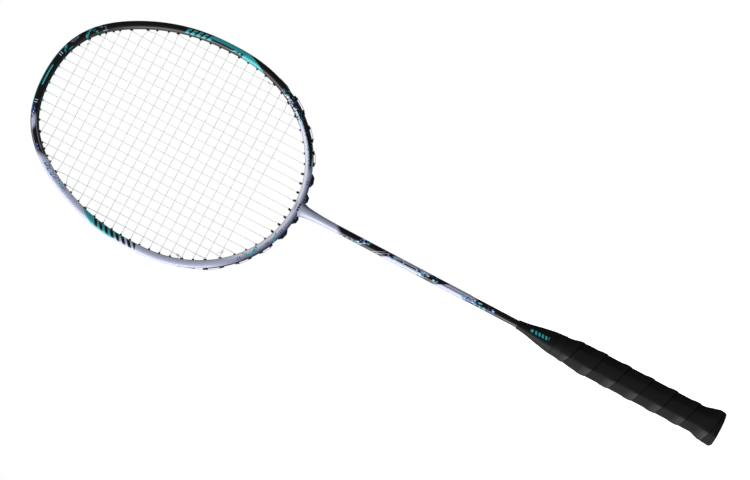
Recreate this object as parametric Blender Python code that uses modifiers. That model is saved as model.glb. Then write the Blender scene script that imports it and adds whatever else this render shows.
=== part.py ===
"""Badminton racket, built from the separate pieces that the real one is assembled from.

The racket stands on its butt. +Z runs up the shaft to the tip of the head, the face looks
along -Y, and +X is to its right. The origin is the centre of the butt end. Metres.
"""

import math
from dataclasses import dataclass

import bmesh
import bpy
from mathutils import Matrix, Vector

# Head outline: its outer edge is two half super-ellipses that meet at the widest height. The
# upper one is flattened at the tip and squared at the shoulders, the lower one drawn in a little.
HEAD_TOP_Z = 0.6756
HEAD_WIDEST_Z = 0.533
HEAD_HALF_WIDTH = 0.1014
HEAD_RISE = HEAD_TOP_Z - HEAD_WIDEST_Z
HEAD_DROP = 0.115
UPPER_POWER = 2.145
LOWER_POWER = 2.10
WAVE_HEIGHT = 0.0007
WAVE_ANGLE = math.radians(56)
DRAW_IN = 0.0009
DRAW_IN_START = math.radians(100)
DRAW_IN_SPAN = math.radians(85)

# Hoop section.
RIM_SIDE = 0.0071
RIM_TIP = 0.0075
RIM_THROAT = 0.0072
RIM_HALF_DEPTH = 0.0053
GROOVE_DEPTH = 0.0013
GROOVE_HALF_WIDTH = 0.0024
GROOVE_ENDS = (math.radians(106), math.radians(120))
RIM_STATIONS = 80

# Throat stub, shaft and T-joint.
SHAFT_RADIUS = 0.0035
SHAFT_BORE = 0.0023
SHAFT_TOP = 0.3827
SHAFT_BOTTOM = 0.0703
STUB_PROFILE = ((0.0052, 0.4225), (0.0052, 0.4175), (0.0049, 0.4130), (0.0043, 0.4060), (0.0038, 0.3960),
                (0.0035, 0.3830))
T_BAR_HALF_ANGLE = math.radians(9.5)
T_BAR_RADIAL = (0.0027, 0.0057)
T_BAR_HALF_DEPTH = 0.0028
T_STEM_RADIUS = 0.0020
T_STEM_BOTTOM = 0.345
FIT_GAP = 0.0003

# Strings.
STRING_RADIUS = 0.00034
MAIN_COUNT = 22
MAIN_PITCH = 0.0082
CROSS_COUNT = 21
CROSS_CENTRE_Z = 0.5574
CROSS_PITCH = 0.0093
CROSS_SPREAD = 2.2e-6
WEAVE = 0.00072
KNOT_SWELL = 2.4
KNOT_REACHES = ((0.0026, 1.0), (0.0032, KNOT_SWELL), (0.0048, KNOT_SWELL), (0.0054, 1.0))
STRAIGHTEN = 0.007
SHARED_OFFSET = 0.00038
LANE_OFFSET = 0.0010

# Grommets.
BARREL_RADIUS = 0.00105
SHARED_BARREL_RADIUS = 0.0015
BORE_RADIUS = 0.00062
SHARED_BORE_RADIUS = 0.00105
HOLE_GAP = 0.00015
NUB = 0.0014
THROAT_NUB = 0.0029
SHARE_WITHIN = 0.0050
BAND_GAP = 0.0001
BAND_THICKNESS = 0.0005
BAND_HALF_WIDTH = 0.0020
BLOCK_RISE = 0.0005
PAD_RISE = 0.0027
PAD_CHANNEL_FLOOR = 0.0010
PAD_CHANNEL_HALF_WIDTH = 0.0006
PAD_OUTLINE = ((1.0, 0.0013), (0.8, 0.0021), (0.4, PAD_RISE))
PADS_FROM = math.radians(160)
STRIP_MARGIN = 0.0021
CENTRE_HOLE_TILT = 0.0026
STRIPS = (("shoulder", 4, 10), ("upper_side", 10, 16), ("side", 16, 22), ("lower_side", 22, 26), ("corner", 26, 32))
BLOCKED_STRIP = "corner"

# Handle.
CONE_TOP = 0.201
CONE_MOUTH_RADIUS = 0.0043
CONE_BASE = 0.165
CONE_BASE_RADIUS = 0.01035
CONE_SKIRT_RADIUS = 0.0087
CONE_WALL = 0.0012
CORE_TOP = 0.1577
BUTT_THICKNESS = 0.0035
GRIP_THICKNESS = 0.0014
GRIP_HALF_WIDTH = 0.0135
GRIP_HALF_DEPTH = 0.01225
BUTT_HALF_WIDTH = 0.0167
TAPE_THICKNESS = 0.0003
TAPE_BOTTOM = 0.1560
TAPE_TOP = 0.1646
GRIP_TOP = 0.1643
STAPLE_Z = 0.026
STAPLE_HALF_WIDTH = 0.0045
STAPLE_LEG = 0.0056
STAPLE_RADIUS = 0.0004
STAPLE_SLOT = 0.0004
TAPER_START = 0.134
FLARE = (0.0066, 0.0226)
FLARE_MIDDLE = 0.0146
PLUG_TOP = 0.0135
PLUG_RADIUS = 0.0040
BORE_GAP = 0.0002
FLAT_SHARES = (0.52, 0.42)
EASE = 0.0009
EASE_SHARE = 0.6
BUTT_ROUNDING = ((0.0030, 0.0), (0.0014, 0.0004), (0.0004, 0.0014), (0.0, 0.0028), (0.0, BUTT_THICKNESS))
CONE_SHOULDER = 0.0025
CONE_WAIST = 0.0125
CONE_HOLLOW = 0.0100
CONE_COLLAR = 0.0150

ROUND_STEPS = 20
PEG_SIDES = 6


@dataclass
class Hole:
    """One grommet hole: where its string turns in at the nub, and where it comes out."""

    angle: float
    inner: Vector
    outer: Vector
    shared: bool

    @property
    def axis(self):
        """The hole's direction, outwards."""
        return (self.outer - self.inner).normalized()

    @property
    def nub(self):
        """The barrel's inner end, just short of where the string turns."""
        return self.inner + self.axis * STRING_RADIUS

    def exit(self, rise):
        """The point on the hole's axis at a height above the hoop's outer edge."""
        lean = self.axis.dot(rim_normal(self.angle))
        return self.outer + self.axis * (rise / lean)


# ---------------------------------------------------------------- scene and materials


def clear_scene():
    """Remove every object of the open file."""
    for item in list(bpy.data.objects):
        bpy.data.objects.remove(item, do_unlink=True)


def add_collection(name):
    """A new collection in the scene."""
    collection = bpy.data.collections.new(name)
    bpy.context.scene.collection.children.link(collection)
    return collection


def finish(name, colour, roughness, metallic=0.0):
    """A Principled material of one colour."""
    material = bpy.data.materials.new(name)
    material.use_nodes = True
    shader = material.node_tree.nodes["Principled BSDF"]
    shader.inputs["Base Color"].default_value = (*colour, 1.0)
    shader.inputs["Roughness"].default_value = roughness
    shader.inputs["Metallic"].default_value = metallic
    return material


clear_scene()
RACKET = add_collection("badminton_racket")
CUTTERS = add_collection("cutters")
PAINT = finish("painted_carbon", (0.38, 0.39, 0.50), 0.25, 0.3)
BLACK_PAINT = finish("black_lacquer", (0.010, 0.010, 0.011), 0.15)
INSERT = finish("moulded_insert", (0.05, 0.05, 0.05), 0.5)
WOOD = finish("handle_wood", (0.52, 0.36, 0.20), 0.6)
GRIP = finish("grip_rubber", (0.012, 0.012, 0.012), 0.7)
TAPE = finish("gloss_tape", (0.015, 0.015, 0.015), 0.3)
GLOSS_PLASTIC = finish("gloss_plastic", (0.012, 0.012, 0.013), 0.12)
NYLON_BLACK = finish("black_nylon", (0.008, 0.008, 0.008), 0.45)
NYLON_TEAL = finish("teal_nylon", (0.02, 0.37, 0.40), 0.4)
STRING = finish("string", (0.86, 0.87, 0.86), 0.3)
STEEL = finish("staple_steel", (0.6, 0.6, 0.6), 0.35, 1.0)


# ---------------------------------------------------------------- mesh helpers


def add_object(name, mesh, material=None):
    """A piece of the racket, or a cutter where it has no material."""
    item = bpy.data.objects.new(name, mesh)
    if material is None:
        CUTTERS.objects.link(item)
        item.hide_render = True
        item.display_type = "WIRE"
        return item
    mesh.materials.append(material)
    RACKET.objects.link(item)
    return item


def add_bmesh(name, shape, material=None):
    """An object made from a bmesh, which is freed."""
    bmesh.ops.recalc_face_normals(shape, faces=shape.faces)
    mesh = bpy.data.meshes.new(name)
    shape.to_mesh(mesh)
    shape.free()
    mesh.shade_smooth()
    mesh.set_sharp_from_angle(angle=math.radians(35))
    return add_object(name, mesh, material)


def add_loft(name, rings, closed, material=None):
    """Skin a row of rings that have the same number of points.

    A closed row joins its last ring to its first. An open row gets an end face each end.
    """
    shape = bmesh.new()
    rows = [[shape.verts.new(point) for point in ring] for ring in rings]
    pairs = list(zip(rows, rows[1:]))
    if closed:
        pairs.append((rows[-1], rows[0]))
    else:
        shape.faces.new(rows[0])
        shape.faces.new(rows[-1])
    for near, far in pairs:
        for index in range(len(near)):
            after = (index + 1) % len(near)
            shape.faces.new((near[index], near[after], far[after], far[index]))
    return add_bmesh(name, shape, material)


def add_turned(name, profile, loop, material=None):
    """Turn a profile of (radius, height) pairs round Z.

    The profile runs down the outside. A loop closes on itself, as a tube's section does.
    """
    shape = bmesh.new()
    points = [shape.verts.new((radius, 0.0, height)) for radius, height in profile]
    for near, far in zip(points, points[1:]):
        shape.edges.new((near, far))
    if loop:
        shape.edges.new((points[-1], points[0]))
    mesh = bpy.data.meshes.new(name)
    shape.to_mesh(mesh)
    shape.free()
    item = add_object(name, mesh, material)
    screw = item.modifiers.new("turn", "SCREW")
    screw.steps = ROUND_STEPS
    screw.render_steps = ROUND_STEPS
    screw.use_merge_vertices = True
    screw.merge_threshold = 0.00002
    screw.use_smooth_shade = True
    return item


def add_pegs(name, pegs, sides=PEG_SIDES):
    """A cutter of straight pegs, each given as (start, end, radius)."""
    shape = bmesh.new()
    for start, end, radius in pegs:
        along = end - start
        across = Vector((0.0, 1.0, 0.0)).cross(along).normalized()
        turn = Matrix((across, Vector((0.0, 1.0, 0.0)), along.normalized())).transposed()
        place = Matrix.Translation((start + end) / 2) @ turn.to_4x4()
        bmesh.ops.create_cone(shape, cap_ends=True, segments=sides, radius1=radius, radius2=radius,
                              depth=along.length, matrix=place)
    return add_bmesh(name, shape)


def add_wire(name, points, radius, material=None, swells=None, sides=4):
    """A wire through the points, made a mesh with welded caps."""
    curve = bpy.data.curves.new(name, "CURVE")
    curve.dimensions = "3D"
    curve.bevel_depth = radius
    curve.bevel_resolution = (sides - 4) // 2
    curve.use_fill_caps = True
    spline = curve.splines.new("POLY")
    spline.points.add(len(points) - 1)
    for index, point in enumerate(points):
        spline.points[index].co = (*point, 1.0)
        spline.points[index].radius = swells[index] if swells else 1.0
    return mesh_from_curve(name, curve, Matrix.Identity(4), material)


def add_plate(name, outline, half_thickness, place, material=None):
    """A flat outline extruded both ways, then placed."""
    curve = bpy.data.curves.new(name, "CURVE")
    curve.dimensions = "2D"
    curve.fill_mode = "BOTH"
    curve.extrude = half_thickness
    spline = curve.splines.new("POLY")
    spline.points.add(len(outline) - 1)
    for index, point in enumerate(outline):
        spline.points[index].co = (*point, 0.0, 1.0)
    spline.use_cyclic_u = True
    return mesh_from_curve(name, curve, place, material)


def mesh_from_curve(name, curve, place, material):
    """The mesh of a curve, with its loose caps welded on."""
    source = bpy.data.objects.new(name + "_curve", curve)
    CUTTERS.objects.link(source)
    source.matrix_world = place
    bpy.context.view_layer.update()
    drawn = bpy.data.meshes.new_from_object(source.evaluated_get(bpy.context.evaluated_depsgraph_get()))
    shape = bmesh.new()
    shape.from_mesh(drawn)
    bmesh.ops.remove_doubles(shape, verts=shape.verts, dist=0.00001)
    item = add_bmesh(name, shape, material)
    item.matrix_world = place
    bpy.data.objects.remove(source, do_unlink=True)
    return item


def combine(item, other, operation):
    """Union with, or cut by, another object."""
    boolean = item.modifiers.new(other.name, "BOOLEAN")
    boolean.object = other
    boolean.operation = operation
    boolean.solver = "EXACT"


# ---------------------------------------------------------------- head geometry


def signed_power(value, power):
    """The power of a number's size, with the number's sign."""
    return math.copysign(abs(value) ** power, value)


def half_outline(angle):
    """The height and power of the half super-ellipse that an angle from the tip falls on."""
    if math.cos(angle) > 0:
        return HEAD_RISE, UPPER_POWER
    return HEAD_DROP, LOWER_POWER


def rim_normal(angle):
    """The outward direction of the hoop's outer edge."""
    height, power = half_outline(angle)
    across = signed_power(math.sin(angle), 2 / power)
    up = signed_power(math.cos(angle), 2 / power)
    slope_x = signed_power(across, power - 1) / HEAD_HALF_WIDTH
    slope_z = signed_power(up, power - 1) / height
    return Vector((slope_x, 0.0, slope_z)).normalized()


def outline_dip(angle):
    """How far the outer edge lies inside the super-ellipses."""
    folded = abs((angle + math.pi) % (2 * math.pi) - math.pi)
    if folded < math.pi / 2:
        fade = 1 - (folded / (math.pi / 2)) ** 4
        return WAVE_HEIGHT * math.cos(2 * math.pi * folded / WAVE_ANGLE) * fade
    along = max(0.0, folded - DRAW_IN_START) / DRAW_IN_SPAN
    return DRAW_IN * math.sin(math.pi * along) ** 2


def rim_point(angle, rise, depth=0.0):
    """A point at a rise above the hoop's outer edge, at an angle from the tip towards +X."""
    height, power = half_outline(angle)
    x = HEAD_HALF_WIDTH * signed_power(math.sin(angle), 2 / power)
    z = HEAD_WIDEST_Z + height * signed_power(math.cos(angle), 2 / power)
    return Vector((x, depth, z)) + rim_normal(angle) * (rise - outline_dip(angle))


def rim_thickness(angle):
    """The hoop's thickness in the plane of the face."""
    lean = math.cos(angle)
    end = RIM_TIP if lean > 0 else RIM_THROAT
    return RIM_SIDE + (end - RIM_SIDE) * lean * lean


def groove_depth(angle):
    """The depth of the outer groove, which fades out below the widest part."""
    start, end = GROOVE_ENDS
    along = (abs(angle) - start) / (end - start)
    return GROOVE_DEPTH * (1 - min(max(along, 0.0), 1.0))


def rim_section(angle):
    """The hoop's section: pairs of rise and depth, from the groove round the front and back."""
    thickness = rim_thickness(angle)
    half = [
        (-groove_depth(angle), GROOVE_HALF_WIDTH),
        (0.0, GROOVE_HALF_WIDTH + 0.0004),
        (-0.00035, 0.0040),
        (-0.0016, 0.0050),
        (-0.0034, RIM_HALF_DEPTH),
        (-thickness + 0.0018, 0.0049),
        (-thickness + 0.0005, 0.0035),
        (-thickness, 0.0014),
    ]
    return half + [(rise, -depth) for rise, depth in reversed(half)]


def section_ring(angle, section):
    """A section placed on the hoop's outline."""
    return [rim_point(angle, rise, depth) for rise, depth in section]


def bisect(test, low, high):
    """The value between two limits where a function changes sign."""
    for _ in range(48):
        middle = (low + high) / 2
        if test(low) * test(middle) <= 0:
            high = middle
        else:
            low = middle
    return low


def nub_point(angle, nub):
    """The inner end of a grommet at an angle."""
    return rim_point(angle, -rim_thickness(angle) - nub)


# ---------------------------------------------------------------- string layout


def main_x(index):
    """The place of a main string, counted from -X."""
    return (index - (MAIN_COUNT - 1) / 2) * MAIN_PITCH


def cross_z(index):
    """The height of a cross string, counted from the throat."""
    step = index - (CROSS_COUNT - 1) // 2
    return CROSS_CENTRE_Z + CROSS_PITCH * step + CROSS_SPREAD * step ** 3


def make_hole(angle, shared):
    """The hole at an angle. The two beside the throat stub lean away from it."""
    at_throat = abs(angle) > PADS_FROM
    inner = nub_point(angle, THROAT_NUB if at_throat else NUB)
    outer = rim_point(angle, 0.0)
    if abs(inner.x) < MAIN_PITCH and inner.z < HEAD_WIDEST_Z:
        outer.x += math.copysign(CENTRE_HOLE_TILT, outer.x)
    return Hole(angle, inner, outer, shared)


def lay_out_right_side():
    """The angles where mains and crosses meet the right half of the hoop.

    Returns a list of (angle, key) where a key is ("top", column), ("bottom", column) or
    ("side", row), and columns are counted from the middle.
    """
    ends = []
    for column in range(MAIN_COUNT // 2):
        x = main_x(MAIN_COUNT // 2 + column)
        top = bisect(lambda a: nub_point(a, NUB).x - x, 0.0, math.pi / 2)
        bottom = bisect(lambda a: nub_point(a, NUB).x - x, math.pi / 2, math.pi)
        ends += [(top, ("top", column)), (bottom, ("bottom", column))]
    for row in range(CROSS_COUNT):
        z = cross_z(row)
        ends.append((bisect(lambda a: nub_point(a, NUB).z - z, 0.05, math.pi - 0.05), ("side", row)))
    return sorted(ends)


def make_holes():
    """The holes of each half, sharing one hole where a main and a cross end side by side.

    Returns the holes of the right half from tip to throat, and each string end's hole for both
    halves under the keys (side, end), side being 1 for +X and -1 for -X.
    """
    groups = []
    for angle, end in lay_out_right_side():
        last = groups[-1] if groups else None
        near = last and (rim_point(angle, 0.0) - rim_point(last[0][0], 0.0)).length < SHARE_WITHIN
        if near and last[0][1][0] != end[0]:
            last.append((angle, end))
        else:
            groups.append([(angle, end)])
    ordered = []
    by_end = {}
    for group in groups:
        angle = sum(item[0] for item in group) / len(group)
        ordered.append(make_hole(angle, len(group) > 1))
        mirrored = make_hole(-angle, len(group) > 1)
        for _, end in group:
            by_end[(1, end)] = ordered[-1]
            by_end[(-1, end)] = mirrored
    return ordered, by_end


def string_rise(angle):
    """The height above the rim edge at which a string runs from hole to hole."""
    if abs(angle) > PADS_FROM:
        return PAD_CHANNEL_FLOOR + STRING_RADIUS * 1.5
    block = BLOCK_RISE if abs(angle) > GROOVE_ENDS[1] else 0.0
    return BAND_GAP + BAND_THICKNESS + block + STRING_RADIUS * 1.5 - groove_depth(angle)


def through_hole(hole, side):
    """The string's points in a hole, from the nub outwards. Side 1 is a main, -1 a cross."""
    offset = Vector((0.0, SHARED_OFFSET * side if hole.shared else 0.0, 0.0))
    return [hole.inner + offset, hole.exit(string_rise(hole.angle)) + offset]


def loop_outside(near, far, side):
    """A string's points on the outside of the hoop, between one hole's exit and the next."""
    lane = 0.0 if string_rise(near.angle) > PAD_CHANNEL_FLOOR and not near.shared else LANE_OFFSET * side
    points = []
    for share in (0.2, 0.8):
        angle = near.angle + (far.angle - near.angle) * share
        rise = string_rise(near.angle) * (1 - share) + string_rise(far.angle) * share
        points.append(rim_point(angle, rise, lane))
    return points


def knotted_end(hole, heading, side):
    """A string's start inside a hole with the knot at its nub, as (point, swell) pairs."""
    inner, outer = through_hole(hole, side)
    start = inner.lerp(outer, 0.6)
    knot = [(inner + heading * reach, swell) for reach, swell in KNOT_REACHES]
    return [(start, 1.0), (inner, 1.0), *knot]


def main_route(by_end):
    """The main string's (point, swell) pairs: up and down from -X to +X."""
    route = []
    middle = MAIN_COUNT // 2
    last_hole = None
    for index in range(MAIN_COUNT):
        side = 1 if index >= middle else -1
        column = index - middle if side > 0 else middle - 1 - index
        ends = [by_end[(side, ("bottom", column))], by_end[(side, ("top", column))]]
        if index % 2:
            ends.reverse()
        heading = Vector((0.0, 0.0, -1.0 if index % 2 else 1.0))
        first, last = ends
        if last_hole is None:
            route += knotted_end(first, heading, 1)
        else:
            route += [(point, 1.0) for point in loop_outside(last_hole, first, 1)]
            route += [(point, 1.0) for point in reversed(through_hole(first, 1))]
        for hole, reach in ((first, 1.0), (last, -1.0)):
            run = Vector((main_x(index), 0.0, hole.inner.z)) + heading * reach * STRAIGHTEN
            route.append((run, 1.0))
        if index < MAIN_COUNT - 1:
            route += [(point, 1.0) for point in through_hole(last, 1)]
        else:
            route += reversed(knotted_end(last, -heading, 1))
        last_hole = last
    return route


def cross_route(by_end):
    """The cross string's (point, swell) pairs: to and fro from the throat, woven on the mains."""
    route = []
    last_hole = None
    for row in range(CROSS_COUNT):
        heading = -1 if row % 2 else 1
        first = by_end[(-heading, ("side", row))]
        last = by_end[(heading, ("side", row))]
        crossed = [i for i in range(MAIN_COUNT) if abs(main_x(i)) < abs(first.inner.x) - 0.0015]
        crossed.sort(key=lambda i: main_x(i) * heading)
        woven = [Vector((main_x(i), WEAVE if (i + row) % 2 else -WEAVE, cross_z(row))) for i in crossed]
        if last_hole is None:
            route += knotted_end(first, (woven[0] - first.inner).normalized(), -1)
        else:
            route += [(point, 1.0) for point in loop_outside(last_hole, first, -1)]
            route += [(point, 1.0) for point in reversed(through_hole(first, -1))]
        route += [(point, 1.0) for point in woven]
        if row < CROSS_COUNT - 1:
            route += [(point, 1.0) for point in through_hole(last, -1)]
        else:
            route += reversed(knotted_end(last, (woven[-1] - last.inner).normalized(), -1))
        last_hole = last
    return route


def make_string(name, route):
    """One length of string along its route."""
    points = [point for point, _ in route]
    swells = [swell for _, swell in route]
    return add_wire(name, points, STRING_RADIUS, STRING, swells)


# ---------------------------------------------------------------- hoop, T-joint and shaft


def barrel_radius(hole):
    """The outer radius of the grommet in a hole."""
    return SHARED_BARREL_RADIUS if hole.shared else BARREL_RADIUS


def hole_pegs(name, holes, gap):
    """Pegs that drill every hole right through the hoop."""
    pegs = []
    for hole in holes:
        reach = hole.axis * 0.004
        pegs.append((hole.inner - reach, hole.outer + reach, barrel_radius(hole) + gap))
    return add_pegs(name, pegs)


def make_hoop(holes):
    """The moulded hoop with its throat stub, grommet holes and the T-joint's seat."""
    angles = [2 * math.pi * step / RIM_STATIONS - math.pi for step in range(RIM_STATIONS)]
    hoop = add_loft("frame_hoop", [section_ring(a, rim_section(a)) for a in angles], True, PAINT)
    top, bottom = STUB_PROFILE[0][1], STUB_PROFILE[-1][1]
    profile = [(0.0, top), *STUB_PROFILE, (0.0, bottom)]
    combine(hoop, add_turned("stub_body", profile, False), "UNION")
    combine(hoop, t_bar("t_joint_seat", FIT_GAP), "DIFFERENCE")
    throat = rim_point(math.pi, -T_BAR_RADIAL[1]).z
    bore = Vector((0.0, 0.0, bottom - 0.002)), Vector((0.0, 0.0, throat))
    combine(hoop, add_pegs("stub_bore", [(*bore, SHAFT_BORE)], 16), "DIFFERENCE")
    combine(hoop, hole_pegs("grommet_holes", holes, HOLE_GAP), "DIFFERENCE")


def t_bar(name, gap, material=None):
    """The T-joint's curved bar inside the hoop, or its seat where there is a gap."""
    near, far = (-T_BAR_RADIAL[0] + gap, -T_BAR_RADIAL[1] - gap)
    depth = T_BAR_HALF_DEPTH + gap
    section = [(near, depth), (near, -depth), (far, -depth), (far, depth)]
    reach = T_BAR_HALF_ANGLE + gap / HEAD_HALF_WIDTH
    angles = [math.pi + reach * share for share in (-1.0, -0.5, 0.0, 0.5, 1.0)]
    return add_loft(name, [section_ring(a, section) for a in angles], False, material)


def make_t_joint(holes):
    """The insert that ties shaft and hoop together, with the middle mains' holes through it."""
    joint = t_bar("t_joint", 0.0, INSERT)
    throat = rim_point(math.pi, -sum(T_BAR_RADIAL) / 2).z
    stem = Vector((0.0, 0.0, T_STEM_BOTTOM)), Vector((0.0, 0.0, throat))
    combine(joint, add_pegs("t_joint_stem", [(*stem, T_STEM_RADIUS)], 16), "UNION")
    near = [hole for hole in holes if abs(hole.inner.x) < 2 * MAIN_PITCH and hole.inner.z < HEAD_WIDEST_Z]
    combine(joint, hole_pegs("t_joint_holes", near, FIT_GAP), "DIFFERENCE")


def make_shaft():
    """The carbon tube from the throat stub down into the handle."""
    section = [(SHAFT_RADIUS, SHAFT_TOP), (SHAFT_RADIUS, SHAFT_BOTTOM),
               (SHAFT_BORE, SHAFT_BOTTOM), (SHAFT_BORE, SHAFT_TOP)]
    add_turned("shaft_tube", section, True, BLACK_PAINT)


# ---------------------------------------------------------------- grommets


def band_section(angle):
    """A grommet strip's section where it lies in the groove."""
    low = BAND_GAP - groove_depth(angle)
    high = low + BAND_THICKNESS
    return [(low, -BAND_HALF_WIDTH), (high, -BAND_HALF_WIDTH), (high, BAND_HALF_WIDTH), (low, BAND_HALF_WIDTH)]


def grommet_barrels(name, holes, blocks):
    """The barrels of a strip's holes, with a raised block round each mouth where asked."""
    pegs = []
    for hole in holes:
        rise = BAND_GAP + (BAND_THICKNESS + BLOCK_RISE if blocks else BAND_THICKNESS) / 2
        pegs.append((hole.nub, hole.exit(rise - groove_depth(hole.angle)), barrel_radius(hole)))
    barrels = add_pegs(name, pegs)
    if blocks:
        tops = []
        for hole in holes:
            base = rim_point(hole.angle, BAND_GAP + BAND_THICKNESS / 2)
            top = rim_point(hole.angle, BAND_GAP + BAND_THICKNESS + BLOCK_RISE)
            tops.append((base, top, barrel_radius(hole) + 0.0007))
        combine(barrels, add_pegs(name + "_blocks", tops, 8), "UNION")
    return barrels


def string_bores(name, holes):
    """Cutters for the string's passage through each barrel."""
    pegs = []
    for hole in holes:
        radius = SHARED_BORE_RADIUS if hole.shared else BORE_RADIUS
        pegs.append((hole.inner - hole.axis * 0.001, hole.exit(PAD_RISE + 0.001), radius))
    return add_pegs(name, pegs)


def make_strip(name, holes, blocks, material):
    """A grommet strip: a thin band in the groove with one barrel for each hole."""
    grid = 2 * math.pi / RIM_STATIONS
    margin = STRIP_MARGIN / HEAD_HALF_WIDTH
    angles = sorted(hole.angle for hole in holes)
    first, last = angles[0] - margin, angles[-1] + margin
    between = [step * grid for step in range(-RIM_STATIONS, RIM_STATIONS) if first < step * grid < last]
    stations = [first, *between, last]
    strip = add_loft(name, [section_ring(a, band_section(a)) for a in stations], False, material)
    combine(strip, grommet_barrels(name + "_barrels", holes, blocks), "UNION")
    combine(strip, string_bores(name + "_bores", holes), "DIFFERENCE")


def make_pad(name, holes):
    """A throat pad: a humped block that carries one main's turn in a channel."""
    exits = [hole.exit(BAND_GAP) for hole in holes]
    angle = (holes[0].angle + holes[1].angle) / 2
    normal = rim_normal(angle)
    along = (exits[1] - exits[0]).normalized()
    place = Matrix((along, normal, along.cross(normal))).transposed().to_4x4()
    place.translation = (exits[0] + exits[1]) / 2 + normal * BAND_GAP
    half = (exits[1] - exits[0]).length / 2
    foot = half + BARREL_RADIUS + 0.0003
    hump = [(foot, 0.0), (foot, BLOCK_RISE)] + [(half * share, rise) for share, rise in PAD_OUTLINE]
    outline = hump + [(-across, rise) for across, rise in reversed(hump)]
    pad = add_plate(name, outline, BAND_HALF_WIDTH + 0.0003, place, NYLON_BLACK)
    pegs = [(hole.nub, hole.exit(BAND_GAP + BLOCK_RISE / 2), BARREL_RADIUS) for hole in holes]
    combine(pad, add_pegs(name + "_barrels", pegs), "UNION")
    combine(pad, channel(name + "_channel", exits, normal), "DIFFERENCE")
    combine(pad, string_bores(name + "_bores", holes), "DIFFERENCE")


def channel(name, exits, normal):
    """A slot cutter along a pad's top, from above its floor."""
    along = (exits[1] - exits[0]).normalized()
    start = exits[0] - along * 0.004 + normal * PAD_CHANNEL_FLOOR
    end = exits[1] + along * 0.004 + normal * PAD_CHANNEL_FLOOR
    side = Vector((0.0, PAD_CHANNEL_HALF_WIDTH, 0.0))
    lift = normal * PAD_RISE
    rings = [[p - side, p + side, p + side + lift, p - side + lift] for p in (start, end)]
    return add_loft(name, rings, False)


def make_grommets(holes):
    """Every grommet strip and throat pad, from the tip round to the throat on both sides."""
    mirrored = [make_hole(-hole.angle, hole.shared) for hole in holes]
    make_strip("grommet_strip_tip", mirrored[3::-1] + holes[:4], False, NYLON_TEAL)
    for side_name, row in (("right", holes), ("left", mirrored)):
        for name, start, end in STRIPS:
            blocks = name == BLOCKED_STRIP
            make_strip(f"grommet_strip_{name}_{side_name}", row[start:end], blocks, NYLON_BLACK)
        make_pad(f"grommet_pad_outer_{side_name}", row[32:34])
        make_pad(f"grommet_pad_inner_{side_name}", row[34:36])


# ---------------------------------------------------------------- handle


def handle_section(half_width, half_depth, z):
    """An octagon with its corners eased, wider than it is deep."""
    flat_x = half_width * FLAT_SHARES[0]
    flat_y = half_depth * FLAT_SHARES[1]
    quarter = [
        (half_width, flat_y - EASE),
        (half_width - EASE * EASE_SHARE, flat_y + EASE),
        (flat_x + EASE, half_depth - EASE * EASE_SHARE),
        (flat_x - EASE, half_depth),
    ]
    points = quarter + [(-x, y) for x, y in reversed(quarter)]
    points += [(-x, -y) for x, y in quarter] + [(x, -y) for x, y in reversed(quarter)]
    return [Vector((x, y, z)) for x, y in points]


def round_section(radius, z):
    """A circle with as many points as the octagon has."""
    count = 16
    turns = [2 * math.pi * (step + 0.5) / count for step in range(count)]
    return [Vector((radius * math.cos(turn), radius * math.sin(turn), z)) for turn in turns]


def smooth(share):
    """Ease from 0 to 1."""
    share = min(max(share, 0.0), 1.0)
    return share * share * (3 - 2 * share)


def swell(z, inset):
    """The handle's outer section at a height, drawn in by an inset."""
    ratio = GRIP_HALF_DEPTH / GRIP_HALF_WIDTH
    if z >= TAPER_START:
        ease = smooth((z - TAPER_START) / (CONE_BASE - TAPER_START))
        octagon = handle_section(GRIP_HALF_WIDTH - inset, GRIP_HALF_DEPTH - inset, z)
        circle = round_section(CONE_BASE_RADIUS - inset, z)
        return [a.lerp(b, ease) for a, b in zip(octagon, circle)]
    ease = smooth((FLARE[1] - z) / (FLARE[1] - FLARE[0]))
    width = GRIP_HALF_WIDTH + (BUTT_HALF_WIDTH - GRIP_HALF_WIDTH) * ease
    return handle_section(width - inset, width * ratio - inset, z)


def make_core():
    """The wooden handle: bored for the shaft and cut for the staple."""
    heights = [BUTT_THICKNESS + FIT_GAP, FLARE[0], FLARE_MIDDLE, FLARE[1], TAPER_START, 0.1435, 0.1547, CORE_TOP]
    inset = GRIP_THICKNESS + FIT_GAP
    core = add_loft("handle_core", [swell(z, inset) for z in heights], False, WOOD)
    bore = Vector((0.0, 0.0, SHAFT_BOTTOM - FIT_GAP)), Vector((0.0, 0.0, CORE_TOP + 0.002))
    combine(core, add_pegs("core_bore", [(*bore, SHAFT_RADIUS + BORE_GAP)], ROUND_STEPS), "DIFFERENCE")
    plug = Vector((0.0, 0.0, BUTT_THICKNESS / 2)), Vector((0.0, 0.0, PLUG_TOP + 2 * FIT_GAP))
    combine(core, add_pegs("plug_bore", [(*plug, PLUG_RADIUS + FIT_GAP)], ROUND_STEPS), "DIFFERENCE")
    slot = add_wire("staple_slot", staple_points(STAPLE_SLOT), STAPLE_RADIUS + STAPLE_SLOT, sides=8)
    combine(core, slot, "DIFFERENCE")


def staple_points(longer):
    """The staple's centre line: a crown just under the wood's front flat and two legs."""
    face = -(GRIP_HALF_DEPTH - GRIP_THICKNESS - FIT_GAP)
    crown = face + STAPLE_RADIUS
    leg = crown + STAPLE_LEG + longer
    half = STAPLE_HALF_WIDTH
    return [Vector((x, y, STAPLE_Z)) for x, y in ((-half, leg), (-half, crown), (half, crown), (half, leg))]


def make_sleeve(name, heights, outer_inset, inner_inset, material):
    """A sleeve that follows the handle between two insets, open at both ends."""
    outer = [swell(z, outer_inset) for z in heights]
    inner = [swell(z, inner_inset) for z in reversed(heights)]
    return add_loft(name, outer + inner, True, material)


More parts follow.
